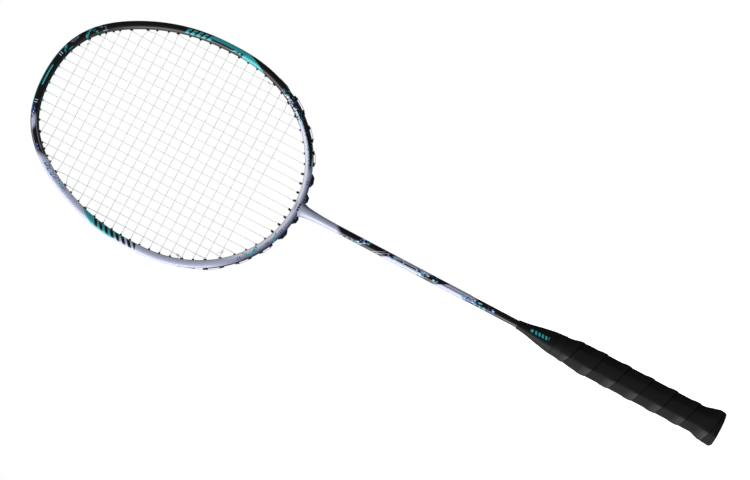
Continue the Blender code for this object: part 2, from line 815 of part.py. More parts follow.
def make_grip():
    """The wrapped grip, and the tape that finishes its upper end."""
    low = [BUTT_THICKNESS + FIT_GAP, FLARE[0], 0.0105, FLARE_MIDDLE, 0.0186, FLARE[1]]
    high = [TAPER_START, 0.1418, 0.1495, TAPE_BOTTOM - FIT_GAP]
    sleeve_heights = low + high
    outer = [swell(z, 0.0) for z in sleeve_heights]
    stepped = [swell(z, TAPE_THICKNESS + FIT_GAP) for z in (TAPE_BOTTOM - FIT_GAP / 2, GRIP_TOP)]
    inner = [swell(z, GRIP_THICKNESS) for z in reversed(sleeve_heights + [GRIP_TOP])]
    add_loft("grip_tape", outer + stepped + inner, True, GRIP)
    make_sleeve("finishing_tape", [TAPE_BOTTOM, (TAPE_BOTTOM + TAPE_TOP) / 2, TAPE_TOP],
                0.0, TAPE_THICKNESS, TAPE)


def make_staple():
    """The staple that holds the grip's lower end on the wood."""
    add_wire("grip_staple", staple_points(0.0), STAPLE_RADIUS, STEEL, sides=6)


def make_butt_cap():
    """The butt cap: a rounded octagonal plate with a plug into the wood."""
    ratio = GRIP_HALF_DEPTH / GRIP_HALF_WIDTH
    rings = []
    for inset, z in BUTT_ROUNDING:
        rings.append(handle_section(BUTT_HALF_WIDTH - inset, BUTT_HALF_WIDTH * ratio - inset, z))
    cap = add_loft("butt_cap", rings, False, NYLON_BLACK)
    plug = Vector((0.0, 0.0, BUTT_THICKNESS / 2)), Vector((0.0, 0.0, PLUG_TOP))
    combine(cap, add_pegs("cap_plug", [(*plug, PLUG_RADIUS)], ROUND_STEPS), "UNION")


def make_cone():
    """The gloss cone that fairs the shaft into the handle, with a skirt under the tape."""
    skirt_bottom = CORE_TOP + FIT_GAP
    bore = SHAFT_RADIUS + BORE_GAP
    section = [
        (CONE_MOUTH_RADIUS - 0.0003, CONE_TOP),
        (CONE_MOUTH_RADIUS, CONE_TOP - 0.0006),
        (CONE_MOUTH_RADIUS + 0.0003, CONE_TOP - 0.0040),
        (CONE_BASE_RADIUS - 0.0021, CONE_BASE + CONE_WAIST),
        (CONE_BASE_RADIUS - 0.0003, CONE_BASE + CONE_SHOULDER),
        (CONE_BASE_RADIUS, CONE_BASE),
        (CONE_SKIRT_RADIUS, CONE_BASE),
        (CONE_SKIRT_RADIUS, skirt_bottom),
        (CONE_SKIRT_RADIUS - CONE_WALL, skirt_bottom),
        (CONE_SKIRT_RADIUS - CONE_WALL, CONE_BASE + CONE_HOLLOW),
        (bore, CONE_TOP - CONE_COLLAR),
        (bore, CONE_TOP),
    ]
    add_turned("cone_cap", section, True, GLOSS_PLASTIC)


def main():
    """Build every piece of the racket."""
    right_holes, by_end = make_holes()
    all_holes = right_holes + [make_hole(-hole.angle, hole.shared) for hole in right_holes]
    make_hoop(all_holes)
    make_t_joint(all_holes)
    make_shaft()
    make_grommets(right_holes)
    make_string("main_string", main_route(by_end))
    make_string("cross_string", cross_route(by_end))
    make_core()
    make_staple()
    make_grip()
    make_butt_cap()
    make_cone()


main()
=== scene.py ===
"""Badminton racket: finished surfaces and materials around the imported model.

The racket stands on its butt with +Z up the shaft, its face looks along -Y and +X is to its
right. Lengths are in metres, except painted patterns, which are laid out in millimetres.
"""

import logging
import math
from dataclasses import dataclass, field
from enum import Enum

import bpy
import bmesh
import numpy as np
from mathutils import Matrix, Vector


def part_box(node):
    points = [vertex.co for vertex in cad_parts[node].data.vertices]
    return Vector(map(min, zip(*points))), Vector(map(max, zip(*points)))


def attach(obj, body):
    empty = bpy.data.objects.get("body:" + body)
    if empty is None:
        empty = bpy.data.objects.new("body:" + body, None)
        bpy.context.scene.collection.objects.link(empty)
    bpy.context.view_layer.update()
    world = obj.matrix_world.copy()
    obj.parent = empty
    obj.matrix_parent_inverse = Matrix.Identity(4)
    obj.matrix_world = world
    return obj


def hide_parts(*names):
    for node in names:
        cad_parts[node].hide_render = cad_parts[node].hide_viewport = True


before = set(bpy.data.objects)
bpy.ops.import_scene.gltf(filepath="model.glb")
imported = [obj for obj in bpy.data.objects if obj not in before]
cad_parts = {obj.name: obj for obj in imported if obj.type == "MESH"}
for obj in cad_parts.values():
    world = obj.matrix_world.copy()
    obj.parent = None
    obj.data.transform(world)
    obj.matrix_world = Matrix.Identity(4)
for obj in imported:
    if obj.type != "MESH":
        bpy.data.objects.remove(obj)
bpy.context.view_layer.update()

log = logging.getLogger("racket")
MM = 0.001
THROAT_FROM = math.radians(160)
COAT = 0.45
COAT_ROUGHNESS = 0.14
Colour = tuple[float, float, float]
Paint = bpy.types.NodeSocket

BLACK: Colour = (0.0085, 0.0085, 0.0095)
GREY_VIOLET: Colour = (0.13, 0.13, 0.18)
PEARL: Colour = (0.50, 0.53, 0.70)
# Pale pearl: paint for white dots, and a painted highlight where the pearl faces the light.
PALE_PEARL_AND_HIGHLIGHT: Colour = (0.84, 0.84, 0.94)
# Slate: paint for small ticks, and painted shade on the pearl's edges and shaded side.
SLATE_AND_SHADE: Colour = (0.045, 0.066, 0.15)
TEAL: Colour = (0.018, 0.36, 0.385)
# Pale teal: paint for small dots and chips, and a painted highlight on the inner side of the teal.
PALE_TEAL_AND_HIGHLIGHT: Colour = (0.07, 0.56, 0.60)
VIOLET: Colour = (0.055, 0.055, 0.42)


class Side(Enum):
    """The two halves of the head."""

    RIGHT = 1
    LEFT = -1


class Lane(Enum):
    """Which of the two strings a stretch belongs to, as the side of the groove it keeps to."""

    MAIN = 1
    CROSS = -1


# ------------------------------------------------------------------ node graphs


class Signal:
    """A number that a material works out at each point of a surface."""

    def __init__(self, graph: "Graph", socket: bpy.types.NodeSocket) -> None:
        """Hold a socket and the graph it belongs to."""
        self.graph = graph
        self.socket = socket

    def __add__(self, other: "Signal | float") -> "Signal":
        """Sum."""
        return self.graph.math("ADD", self, other)

    def __sub__(self, other: "Signal | float") -> "Signal":
        """Difference."""
        return self.graph.math("SUBTRACT", self, other)

    def __rsub__(self, other: float) -> "Signal":
        """Difference from a number."""
        return self.graph.math("SUBTRACT", other, self)

    def __mul__(self, other: "Signal | float") -> "Signal":
        """Product."""
        return self.graph.math("MULTIPLY", self, other)

    def __truediv__(self, other: "Signal | float") -> "Signal":
        """Quotient."""
        return self.graph.math("DIVIDE", self, other)

    def floor(self) -> "Signal":
        """Whole part."""
        return self.graph.math("FLOOR", self, 0.0)

    def fraction(self) -> "Signal":
        """Fractional part."""
        return self.graph.math("FRACT", self, 0.0)

    def size(self) -> "Signal":
        """Absolute value."""
        return self.graph.math("ABSOLUTE", self, 0.0)

    def most(self, other: "Signal | float") -> "Signal":
        """The larger of two."""
        return self.graph.math("MAXIMUM", self, other)

    def inverse(self) -> "Signal":
        """One minus this."""
        return self.graph.math("SUBTRACT", 1.0, self)

    def above(self, edge: "Signal | float", soft: float = 0.3) -> "Signal":
        """0 below an edge and 1 above it.

        Args:
            edge: The value where it changes.
            soft: Half the width of the change.

        Returns:
            The mask.
        """
        shifted = self - edge
        return self.graph.remap(shifted, -soft, soft, 0.0, 1.0)

    def within(self, low: "Signal | float", high: "Signal | float", soft: float = 0.3) -> "Signal":
        """1 between two limits.

        Args:
            low: Lower limit.
            high: Upper limit.
            soft: Half the width of each edge.

        Returns:
            The mask.
        """
        return self.above(low, soft) * self.above(high, soft).inverse()


class Graph:
    """Builds one material's nodes with few words."""

    def __init__(self, name: str) -> None:
        """Start a material with a Principled shader.

        Args:
            name: The material's name.
        """
        self.material = bpy.data.materials.new(name)
        self.material.use_nodes = True
        self.tree = self.material.node_tree
        self.shader = self.tree.nodes["Principled BSDF"]

    def _feed(self, socket: bpy.types.NodeSocket, value: object) -> None:
        """Link a signal or colour socket, or set a constant.

        Args:
            socket: The input to feed.
            value: What it gets.
        """
        if isinstance(value, Signal):
            self.tree.links.new(value.socket, socket)
        elif isinstance(value, bpy.types.NodeSocket):
            self.tree.links.new(value, socket)
        elif isinstance(value, tuple) and socket.type == "RGBA":
            socket.default_value = (*value, 1.0)
        else:
            socket.default_value = value

    def node(self, kind: str, **inputs: object) -> bpy.types.Node:
        """Add a node and feed its inputs by name.

        Args:
            kind: The node's type.
            inputs: Values or sources by input name, underscores standing for spaces.

        Returns:
            The node.
        """
        node = self.tree.nodes.new(kind)
        for key, value in inputs.items():
            self._feed(node.inputs[key.replace("_", " ")], value)
        return node

    def math(self, operation: str, first: object, second: object) -> Signal:
        """One arithmetic step.

        Args:
            operation: Blender's name for it.
            first: Signal or number.
            second: Signal or number.

        Returns:
            The result.
        """
        node = self.tree.nodes.new("ShaderNodeMath")
        node.operation = operation
        self._feed(node.inputs[0], first)
        self._feed(node.inputs[1], second)
        return Signal(self, node.outputs[0])

    def remap(self, value: Signal, low: float, high: float, start: float, end: float) -> Signal:
        """Carry a range over to another, clamped.

        Args:
            value: What is carried over.
            low: Where the source range starts.
            high: Where it ends.
            start: The result at low.
            end: The result at high.

        Returns:
            The carried value.
        """
        node = self.node("ShaderNodeMapRange")
        for index, item in enumerate((value, low, high, start, end)):
            self._feed(node.inputs[index], item)
        return Signal(self, node.outputs[0])

    def uv(self) -> tuple[Signal, Signal]:
        """The surface's two layout coordinates."""
        split = self.node("ShaderNodeSeparateXYZ", Vector=self.node("ShaderNodeTexCoord").outputs["UV"])
        return Signal(self, split.outputs[0]), Signal(self, split.outputs[1])

    def place(self) -> tuple[Signal, Signal, Signal]:
        """The point's place on the object."""
        split = self.node("ShaderNodeSeparateXYZ", Vector=self.node("ShaderNodeTexCoord").outputs["Object"])
        return tuple(Signal(self, socket) for socket in split.outputs)

    def vector(self, x: object, y: object, z: object = 0.0) -> bpy.types.NodeSocket:
        """Three numbers as a vector."""
        return self.node("ShaderNodeCombineXYZ", X=x, Y=y, Z=z).outputs[0]

    def noise(self, at: bpy.types.NodeSocket, scale: float, detail: float = 2.0) -> Signal:
        """Smooth noise.

        Args:
            at: Where to read it.
            scale: Features per unit.
            detail: Octaves.

        Returns:
            A value from 0 to 1.
        """
        node = self.node("ShaderNodeTexNoise", Vector=at, Scale=scale, Detail=detail)
        return Signal(self, node.outputs[0])

    def dice(self, column: Signal, row: Signal, seed: float) -> Signal:
        """A random value for each cell of a grid.

        Args:
            column: Grid coordinate, one cell per unit.
            row: The other grid coordinate.
            seed: Picks another throw.

        Returns:
            A value from 0 to 1, constant within a cell.
        """
        node = self.node("ShaderNodeTexWhiteNoise", Vector=self.vector(column.floor(), row.floor(), seed))
        return Signal(self, node.outputs[0])

    def over(self, below: object, above: object, mask: Signal) -> bpy.types.NodeSocket:
        """Lay one colour over another.

        Args:
            below: Colour or socket underneath.
            above: Colour or socket on top.
            mask: Where the top one shows.

        Returns:
            The colour socket.
        """
        node = self.tree.nodes.new("ShaderNodeMix")
        node.data_type = "RGBA"
        self._feed(node.inputs[0], mask)
        self._feed(node.inputs[6], below)
        self._feed(node.inputs[7], above)
        return node.outputs[2]

    def relief(self, height: Signal, distance: float, strength: float = 1.0) -> None:
        """Bump the surface.

        Args:
            height: Height from 0 to 1.
            distance: What a height of 1 stands for, in metres.
            strength: Share of the effect.
        """
        bump = self.node("ShaderNodeBump", Height=height, Distance=distance, Strength=strength)
        self._feed(self.shader.inputs["Normal"], bump.outputs[0])

    def dress(self, **values: object) -> bpy.types.Material:
        """Set the shader's inputs and return the material.

        Args:
            values: Inputs by name, underscores standing for spaces.

        Returns:
            The finished material.
        """
        for key, value in values.items():
            self._feed(self.shader.inputs[key.replace("_", " ")], value)
        return self.material


# ------------------------------------------------------------------ finishes


@dataclass(frozen=True)
class HoopPaint:
    """Pearl, black and teal paint laid out along the hoop under a clear coat, with painted shade and painted
    highlight.
    """

    girth_mm: float
    pearl_start: float = 322.0
    pearl_end: float = 655.0
    dots: tuple[tuple[float, float], ...] = ((-1.7, 420.2), (0.8, 420.2), (3.3, 420.2))
    dot_radius: float = 0.95

    def material(self) -> bpy.types.Material:
        """Paint every stretch of the hoop.

        Returns:
            The material. Its layout runs along the outer edge from the tip towards +X, and
            across from the outer edge to the inner one.
        """
        graph = Graph("hoop_paint")
        along, across = graph.uv()
        along = along * self.girth_mm
        pearl = self._pearl_mask(along, across)
        colour = graph.over(BLACK, PEARL, pearl)
        colour = self._shade(graph, colour, along, across)
        colour = self._speckle(graph, colour, along, across)
        colour = self._teal(graph, colour, along, across)
        colour = self._fragments(graph, colour, along, across)
        colour = self._marks(graph, colour, along, across)
        flake = graph.noise(graph.vector(*graph.place()), 9000.0, 0.0)
        return graph.dress(Base_Color=colour, Metallic=pearl * 0.12 + flake * 0.03,
                           Roughness=graph.remap(pearl, 0.0, 1.0, 0.26, 0.38), Coat_Weight=COAT,
                           Coat_Roughness=COAT_ROUGHNESS)

    def _pearl_mask(self, along: Signal, across: Signal) -> Signal:
        """Where the hoop is pearl silver: round the throat and up the left side.

        Args:
            along: Millimetres along the hoop from the tip.
            across: 0 at the outer edge, 1 at the inner one.

        Returns:
            The mask.
        """
        start = self.pearl_start - (across.above(0.52, 0.10) * 38.0)
        end = across * -8.0 + (self.pearl_end + 6.0)
        body = along.above(start, 3.0) * along.above(end, 4.0).inverse()
        blotch = along.within(across * 8.0 + 681.0, across * 6.0 + 692.0, 2.5)
        blotch = blotch * across.within(0.12, 0.62, 0.10)
        pair = across.within(0.13, 0.19, 0.03).most(across.within(0.70, 0.76, 0.03))
        lines = along.within(660.0, 694.0, 3.0) * pair
        return body.most(blotch).most(lines * 0.55)

    @staticmethod
    def _shade(graph: Graph, colour: Paint, along: Signal, across: Signal) -> Paint:
        """Slate along the pearl's outer edge by the throat, partly the paint's own tone and partly painted
        shade, and a pale inner half, partly paint and partly painted highlight; also a painted shade line on
        the left side, painted shade and highlight on the throat stub, and a black patch of paint.

        Args:
            graph: The material's graph.
            colour: The paint so far.
            along: Millimetres along the hoop from the tip.
            across: 0 at the outer edge, 1 at the inner one.

        Returns:
            The paint with its painted shade and highlight.
        """
        # Slate over the outer edge by the throat: partly the pearl's own darker tone, partly painted shade.
        throat = along.within(326.0, 450.0, 16.0)
        colour = graph.over(colour, SLATE_AND_SHADE, throat * graph.remap(across, 0.10, 0.62, 1.0, 0.0))
        # Pale inner half by the throat: partly paint, partly painted highlight.
        inner = along.within(288.0, 446.0, 8.0) * across.within(0.60, 0.94, 0.10)
        colour = graph.over(colour, PALE_PEARL_AND_HIGHLIGHT, inner * 0.9)
        # Painted shade: a slate line along the inner edge on the left side towards the throat.
        colour = graph.over(colour, SLATE_AND_SHADE, along.within(462.0, 536.0, 8.0) * across.above(0.90, 0.08) * 0.6)
        patch = along.within(300.0, 330.0, 4.0) * across.within(0.16, 0.50, 0.07)
        colour = graph.over(colour, BLACK, patch)
        # Throat stub: painted shade on its +X side and a painted highlight on its -X side.
        x, _, z = (axis * 1000.0 for axis in graph.place())
        stub = z.above(419.0, 1.5).inverse()
        colour = graph.over(colour, SLATE_AND_SHADE, stub * x.above(3.0, 1.3) * 0.8)
        return graph.over(colour, PALE_PEARL_AND_HIGHLIGHT, stub * x.within(-3.8, -0.9, 0.9) * 0.3)

    @staticmethod
    def _speckle(graph: Graph, colour: Paint, along: Signal, across: Signal) -> Paint:
        """Fine dots of teal, violet and white where black meets pearl.

        Args:
            graph: The material's graph.
            colour: The paint so far.
            along: Millimetres along the hoop from the tip.
            across: 0 at the outer edge, 1 at the inner one.

        Returns:
            The paint with its dots.
        """
        pick = graph.dice((along + across * 4.0) * 1.15, across * 8.0, 3.0)
        inner = across.within(0.55, 0.92, 0.06)
        streaks = along.within(252.0, 287.0, 3.0)
        glints = along.within(284.0, 331.0, 3.0) * across.within(0.46, 0.64, 0.03)
        left = along.within(619.0, 651.0, 3.0) * across.within(0.25, 0.90, 0.06)
        tip = along.within(662.0, 668.0, 1.0).most(along.within(694.0, 704.0, 2.0))
        tip = tip * across.within(0.12, 0.45, 0.05)
        dark = along.within(252.0, 287.0, 3.0) * across.above(0.50, 0.05).inverse()
        for low, high, paint, zone in (
                (0.00, 0.26, PALE_PEARL_AND_HIGHLIGHT, streaks * inner), (0.26, 0.38, PALE_TEAL_AND_HIGHLIGHT, streaks * inner),
                (0.38, 0.50, VIOLET, streaks * inner), (0.00, 0.12, TEAL, dark * 0.5),
                (0.12, 0.26, VIOLET, dark * 0.3), (0.00, 0.16, PALE_TEAL_AND_HIGHLIGHT, glints),
                (0.16, 0.34, VIOLET, glints), (0.00, 0.14, TEAL, left), (0.14, 0.36, VIOLET, left),
                (0.00, 0.40, VIOLET, tip), (0.40, 0.55, PEARL, tip)):
            colour = graph.over(colour, paint, pick.within(low, high, 0.004) * zone)
        return colour

    @staticmethod
    def _teal(graph: Graph, colour: Paint, along: Signal, across: Signal) -> Paint:
        """The two solid teal sweeps, one on each side, with a painted highlight on the right one's inner
        part, and the line round the tip.

        Args:
            graph: The material's graph.
            colour: The paint so far.
            along: Millimetres along the hoop from the tip.
            across: 0 at the outer edge, 1 at the inner one.

        Returns:
            The paint with its sweeps.
        """
        below_black = (along - 206.0) / 22.0
        outer_band = along.within(171.0, 214.0, 1.0) * across.within(below_black.most(0.06), 0.50, 0.03)
        wedge = (along - 202.0) * -0.05 + 0.55
        inner_band = along.within(202.0, 229.0, 0.5) * across.above(wedge.most(below_black), 0.03)
        colour = graph.over(colour, TEAL, outer_band)
        colour = graph.over(colour, TEAL, inner_band)
        # Painted highlight: pale teal over the sweep's inner part, where it faces the light.
        colour = graph.over(colour, PALE_TEAL_AND_HIGHLIGHT, inner_band * across.within(0.62, 0.88, 0.10))
        left = along.within(across * -12.0 + 560.0, across * 17.0 + 581.0, 2.0) * across.above(0.06, 0.05)
        colour = graph.over(colour, TEAL, left)
        tip_line = along.above(33.0).inverse().most(along.above(700.0))
        return graph.over(colour, TEAL, across.within(0.015, 0.10, 0.02) * tip_line)

    @staticmethod
    def _fragments(graph: Graph, colour: Paint, along: Signal, across: Signal) -> Paint:
        """Chips of teal and grey strewn along slanted lines near the tip and the throat.

        Args:
            graph: The material's graph.
            colour: The paint so far.
            along: Millimetres along the hoop from the tip.
            across: 0 at the outer edge, 1 at the inner one.

        Returns:
            The paint with its chips.
        """
        pick = graph.dice((along + across * 2.5) * 0.85, across * 5.5, 9.0)
        rows = ((28.0, 34.5, -0.10, 0.62, TEAL), (52.0, 58.5, -0.10, 0.78, TEAL),
                (59.0, 64.5, 0.11, 0.10, TEAL), (38.0, 46.5, -0.02, 0.34, GREY_VIOLET),
                (66.0, 73.0, 0.05, 0.12, GREY_VIOLET), (397.0, 404.5, -0.06, 0.62, TEAL),
                (419.5, 425.5, -0.08, 0.78, TEAL), (427.5, 434.5, 0.09, 0.14, TEAL))
        for start, end, slope, level, paint in rows:
            line = (along - start) * slope + level
            near = (across - line).size().above(0.17, 0.02).inverse()
            colour = graph.over(colour, paint, along.within(start, end, 0.2) * near * pick.above(0.30, 0.004))
        inner_edge = across.within(0.72, 0.80, 0.02)
        colour = graph.over(colour, TEAL, along.within(32.0, 37.0, 0.2) * inner_edge * 0.8)
        colour = graph.over(colour, PEARL, along.within(69.0, 73.5, 0.2) * inner_edge * 0.7)
        bits = along.within(187.0, 203.0, 0.3) * across.within(0.56, 0.80, 0.02) * pick.above(0.60, 0.004)
        colour = graph.over(colour, PALE_TEAL_AND_HIGHLIGHT, bits)
        row = along.above(724.0).most(along.above(11.5).inverse()) * across.within(0.36, 0.52, 0.03)
        gaps = ((along + across * 2.0) / 1.9).fraction().above(0.38, 0.05)
        return graph.over(colour, PALE_TEAL_AND_HIGHLIGHT, row * gaps)

    def _marks(self, graph: Graph, colour: Paint, along: Signal, across: Signal) -> Paint:
        """Plain slanted bars and double ticks, which say nothing.

        Args:
            graph: The material's graph.
            colour: The paint so far.
            along: Millimetres along the hoop from the tip.
            across: 0 at the outer edge, 1 at the inner one.

        Returns:
            The paint with its bars, ticks and dots.
        """
        lean = along + across * 5.0
        zone = along.within(145.5, 171.5)
        bars = (lean / 5.3).fraction().within(0.10, 0.72, 0.03) * zone * across.within(0.20, 0.82, 0.03)
        notch = (lean / 5.3).fraction().within(0.40, 0.72, 0.03) * across.within(0.42, 0.58, 0.03)
        colour = graph.over(colour, TEAL, bars * notch.inverse())
        # Painted highlight: pale teal over the bars' inner side.
        colour = graph.over(colour, PALE_TEAL_AND_HIGHLIGHT, bars * across.above(0.60, 0.06) * 0.8)
        hatch = (lean / 1.6).fraction().above(0.72, 0.05) * along.within(171.5, 204.0)
        colour = graph.over(colour, BLACK, hatch * across.within(0.02, 0.52, 0.02) * 0.45)
        strokes = (along - across * 6.0) / 5.9
        zone = along.within(across * 2.0 + 535.0, across * 4.0 + 579.5, 0.5)
        bold = strokes.fraction().within(0.10, 0.66, 0.03) * zone * across.within(0.16, 0.97, 0.02)
        colour = graph.over(colour, BLACK, bold)
        for start, paint in ((22.5, PEARL), (341.0, SLATE_AND_SHADE), (391.3, SLATE_AND_SHADE), (408.3, SLATE_AND_SHADE), (437.4, SLATE_AND_SHADE),
                             (706.5, PEARL)):
            tick = along.within(start, start + 0.7, 0.15).most(along.within(start + 2.2, start + 2.9, 0.15))
            colour = graph.over(colour, paint, tick * across.within(0.20, 0.58, 0.04))
        return self._throat_dots(graph, colour)

    def _throat_dots(self, graph: Graph, colour: Paint) -> Paint:
        """Three plain black dots on the throat's face.

        Args:
            graph: The material's graph.
            colour: The paint so far.

        Returns:
            The paint with the dots.
        """
        x, y, z = (axis * 1000.0 for axis in graph.place())
        for aside, height in self.dots:
            away_x, away_z = x - aside, z - height
            dot = (away_x * away_x + away_z * away_z).above(self.dot_radius ** 2, 0.15).inverse()
            colour = graph.over(colour, BLACK, dot * y.above(0.0).inverse())
        return colour


@dataclass(frozen=True)
class ShaftPaint:
    """Black lacquer on the shaft with pearl, teal and violet flashes, and painted shade and highlight on the
    pearl.
    """

    low_mm: float
    high_mm: float

    def material(self) -> bpy.types.Material:
        """Paint the shaft.

        Returns:
            The material. Its layout runs up the shaft, and across it from -X to +X.
        """
        graph = Graph("shaft_paint")
        along, turn = graph.uv()
        height = along * (self.high_mm - self.low_mm) + self.low_mm
        side = turn * 2.0 - 1.0
        lean = height + side * 7.0
        dark_core = side.within(-0.06, 0.30, 0.06)
        pearl = (height - side * 4.0).above(381.0, 3.0)
        pearl = pearl.most(lean.within(294.0, 329.0, 0.6) * dark_core.inverse())
        pearl = pearl.most(lean.within(248.0, 276.0, 0.6) * side.within(-0.12, 0.06, 0.05).inverse())
        for start in (334.0, 337.5, 353.0, 246.0):
            pearl = pearl.most(lean.within(start, start + 0.9, 0.2) * side.above(0.55, 0.2).inverse())
        colour = graph.over(BLACK, PEARL, pearl)
        # Painted shade on the pearl's +X side and a faint painted highlight on its -X side.
        colour = graph.over(colour, SLATE_AND_SHADE, pearl * side.above(0.62, 0.30) * 0.65)
        colour = graph.over(colour, PALE_PEARL_AND_HIGHLIGHT, pearl * side.within(-0.90, -0.30, 0.20) * 0.1)
        pick = graph.dice((height + side * 2.2) * 0.62, side * 3.4, 5.0)
        bottom = side.above(-0.25, 0.05).inverse()
        for low, high, area in ((356.0, 377.0, bottom), (349.0, 359.0, bottom.inverse()),
                                (315.0, 331.0, bottom.inverse()),
                                (281.0, 303.0, side.within(-0.9, 0.7, 0.05)),
                                (224.0, 257.0, side.within(-0.9, 0.3, 0.05))):
            zone = height.within(low, high, 0.3) * area
            for start, end, paint in ((0.0, 0.13, TEAL), (0.13, 0.24, VIOLET), (0.24, 0.30, PALE_TEAL_AND_HIGHLIGHT),
                                      (0.30, 0.35, PALE_PEARL_AND_HIGHLIGHT)):
                colour = graph.over(colour, paint, pick.within(start, end, 0.004) * zone)
        return graph.dress(Base_Color=colour, Metallic=pearl * 0.12,
                           Roughness=graph.remap(pearl, 0.0, 1.0, 0.26, 0.38), Coat_Weight=COAT,
                           Coat_Roughness=COAT_ROUGHNESS)


@dataclass(frozen=True)
class GlossPlastic:
    """Gloss black moulding with a row of plain dashes on its face."""

    low_mm: float
    high_mm: float

    def material(self) -> bpy.types.Material:
        """Dress the cone.

        Returns:
            The material.
        """
        graph = Graph("cone_gloss")
        x, y, z = graph.place()
        height, aside = z * 1000.0, x * 1000.0
        dash = ((height - aside * 0.35) / 3.3).fraction().within(0.18, 0.72, 0.05)
        row = height.within(self.low_mm, self.high_mm, 0.2) * (aside - 0.6).size().above(1.5, 0.12).inverse()
        dot_height, dot_aside = height - (self.high_mm + 2.6), aside - 0.6
        dot = (dot_height * dot_height + dot_aside * dot_aside).above(2.0, 0.3).inverse()
        colour = graph.over(BLACK, TEAL, (dash * row).most(dot) * y.above(0.0, 0.0001).inverse())
        peel = graph.noise(graph.vector(x, y, z), 420.0, 2.0)
        graph.relief(peel, 0.000005)
        return graph.dress(Base_Color=colour, Roughness=graph.remap(peel, 0.3, 0.7, 0.22, 0.30),
                           Specular_IOR_Level=0.14)


@dataclass(frozen=True)
class GripRubber:
    """Matt black wrapped grip with a fine pebbled grain and pin pricks, a painted sheen on each lap and
    painted shade in the pricks and seams.
    """

    pitch: float
    first_edge: float

    def material(self) -> bpy.types.Material:
        """Dress the grip.

        Returns:
            The material. Its layout is in metres along and turns round.
        """
        graph = Graph("grip_rubber")
        spot = graph.vector(*graph.place())
        grain = graph.noise(spot, 2600.0, 3.0)
        blotch = graph.noise(spot, 60.0, 2.0)
        along, turn = graph.uv()
        column = along / 0.0040 + turn * 3.0
        row = turn * 22.0
        dot = ((column.fraction() - 0.5) * 4.0, (row.fraction() - 0.5) * 4.0)
        prick = (dot[0] * dot[0] + dot[1] * dot[1]).above(0.12, 0.06).inverse()
        graph.relief(grain * 0.6 - prick * 0.9, 0.00012, 0.8)
        phase = ((along - self.first_edge) / self.pitch + turn).fraction()
        lap = graph.remap(phase, 0.02, 0.45, 1.0, 0.0) * phase.above(0.01, 0.01)
        groove = phase.above(0.965, 0.012).most(phase.above(0.012, 0.006).inverse())
        colour = graph.over((0.0050, 0.0050, 0.0055), (0.0085, 0.0085, 0.009), blotch)
        # Painted sheen: each lap a little lighter.
        colour = graph.over(colour, (0.020, 0.020, 0.020), lap * 0.35)
        # Painted shade: darker in the pin pricks and in the seam under each lap's edge.
        colour = graph.over(colour, (0.002, 0.002, 0.002), prick.most(groove) * 0.8)
        return graph.dress(Base_Color=colour, Roughness=graph.remap(lap, 0.0, 1.0, 0.70, 0.30),
                           Specular_IOR_Level=0.24)


@dataclass(frozen=True)
class Nylon:
    """Moulded grommet nylon with a slight satin skin."""

    name: str
    colour: Colour

    def material(self) -> bpy.types.Material:
        """Dress a grommet strip."""
        graph = Graph(self.name)
        spot = graph.vector(*graph.place())
        mottle = graph.noise(spot, 500.0, 2.0)
        lighter = tuple(min(1.0, channel * 1.5 + 0.004) for channel in self.colour)
        colour = graph.over(self.colour, lighter, mottle)
        graph.relief(graph.noise(spot, 5000.0, 1.0), 0.00003)
        return graph.dress(Base_Color=colour, Roughness=graph.remap(mottle, 0.3, 0.7, 0.38, 0.52), IOR=1.53)


@dataclass(frozen=True)
class BraidedString:
    """White multifilament string with its wrap showing as a fine twill."""

    turn_length: float = 0.0011

    def material(self) -> bpy.types.Material:
        """Dress the strings.

        Returns:
            The material. Its layout is metres along and turns round.
        """
        graph = Graph("braided_string")
        along, turn = graph.uv()
        one = ((along / self.turn_length + turn * 2.0).fraction() - 0.5).size() * 2.0
        other = ((along / self.turn_length - turn * 2.0).fraction() - 0.5).size() * 2.0
        graph.relief(one.most(other), 0.00001, 0.2)
        tint = graph.noise(graph.vector(*graph.place()), 90.0, 2.0)
        colour = graph.over((0.80, 0.83, 0.81), (0.86, 0.88, 0.86), tint)
        return graph.dress(Base_Color=colour, Roughness=graph.remap(tint, 0.3, 0.7, 0.55, 0.65))


@dataclass(frozen=True)
class SatinMoulding:
    """Satin black plastic or vinyl, for tape and butt cap."""

    name: str
    roughness: float
    grain: float = 1500.0

    def material(self) -> bpy.types.Material:
        """Dress the piece."""
        graph = Graph(self.name)
        spot = graph.vector(*graph.place())
        grain = graph.noise(spot, self.grain, 3.0)
        cloud = graph.noise(spot, 80.0, 2.0)
        graph.relief(grain, 0.00004, 0.6)
        colour = graph.over((0.006, 0.006, 0.0065), (0.011, 0.011, 0.0115), cloud)
        rough = graph.remap(cloud, 0.3, 0.7, self.roughness - 0.05, self.roughness + 0.07)
        return graph.dress(Base_Color=colour, Roughness=rough, Specular_IOR_Level=0.2)


@dataclass(frozen=True)
class HandleWood:
    """Pale close-grained wood with its rays along the handle."""

    def material(self) -> bpy.types.Material:
        """Dress the handle core."""
        graph = Graph("handle_wood")
        x, y, z = graph.place()
        rings = graph.noise(graph.vector(x * 500.0, y * 160.0, z * 12.0), 1.0, 4.0)
        fibre = graph.noise(graph.vector(x * 2600.0, y * 2600.0, z * 60.0), 1.0, 2.0)
        colour = graph.over((0.42, 0.27, 0.14), (0.62, 0.45, 0.27), rings)
        graph.relief(fibre, 0.00005)
        return graph.dress(Base_Color=colour, Roughness=graph.remap(fibre, 0.3, 0.7, 0.5, 0.7))


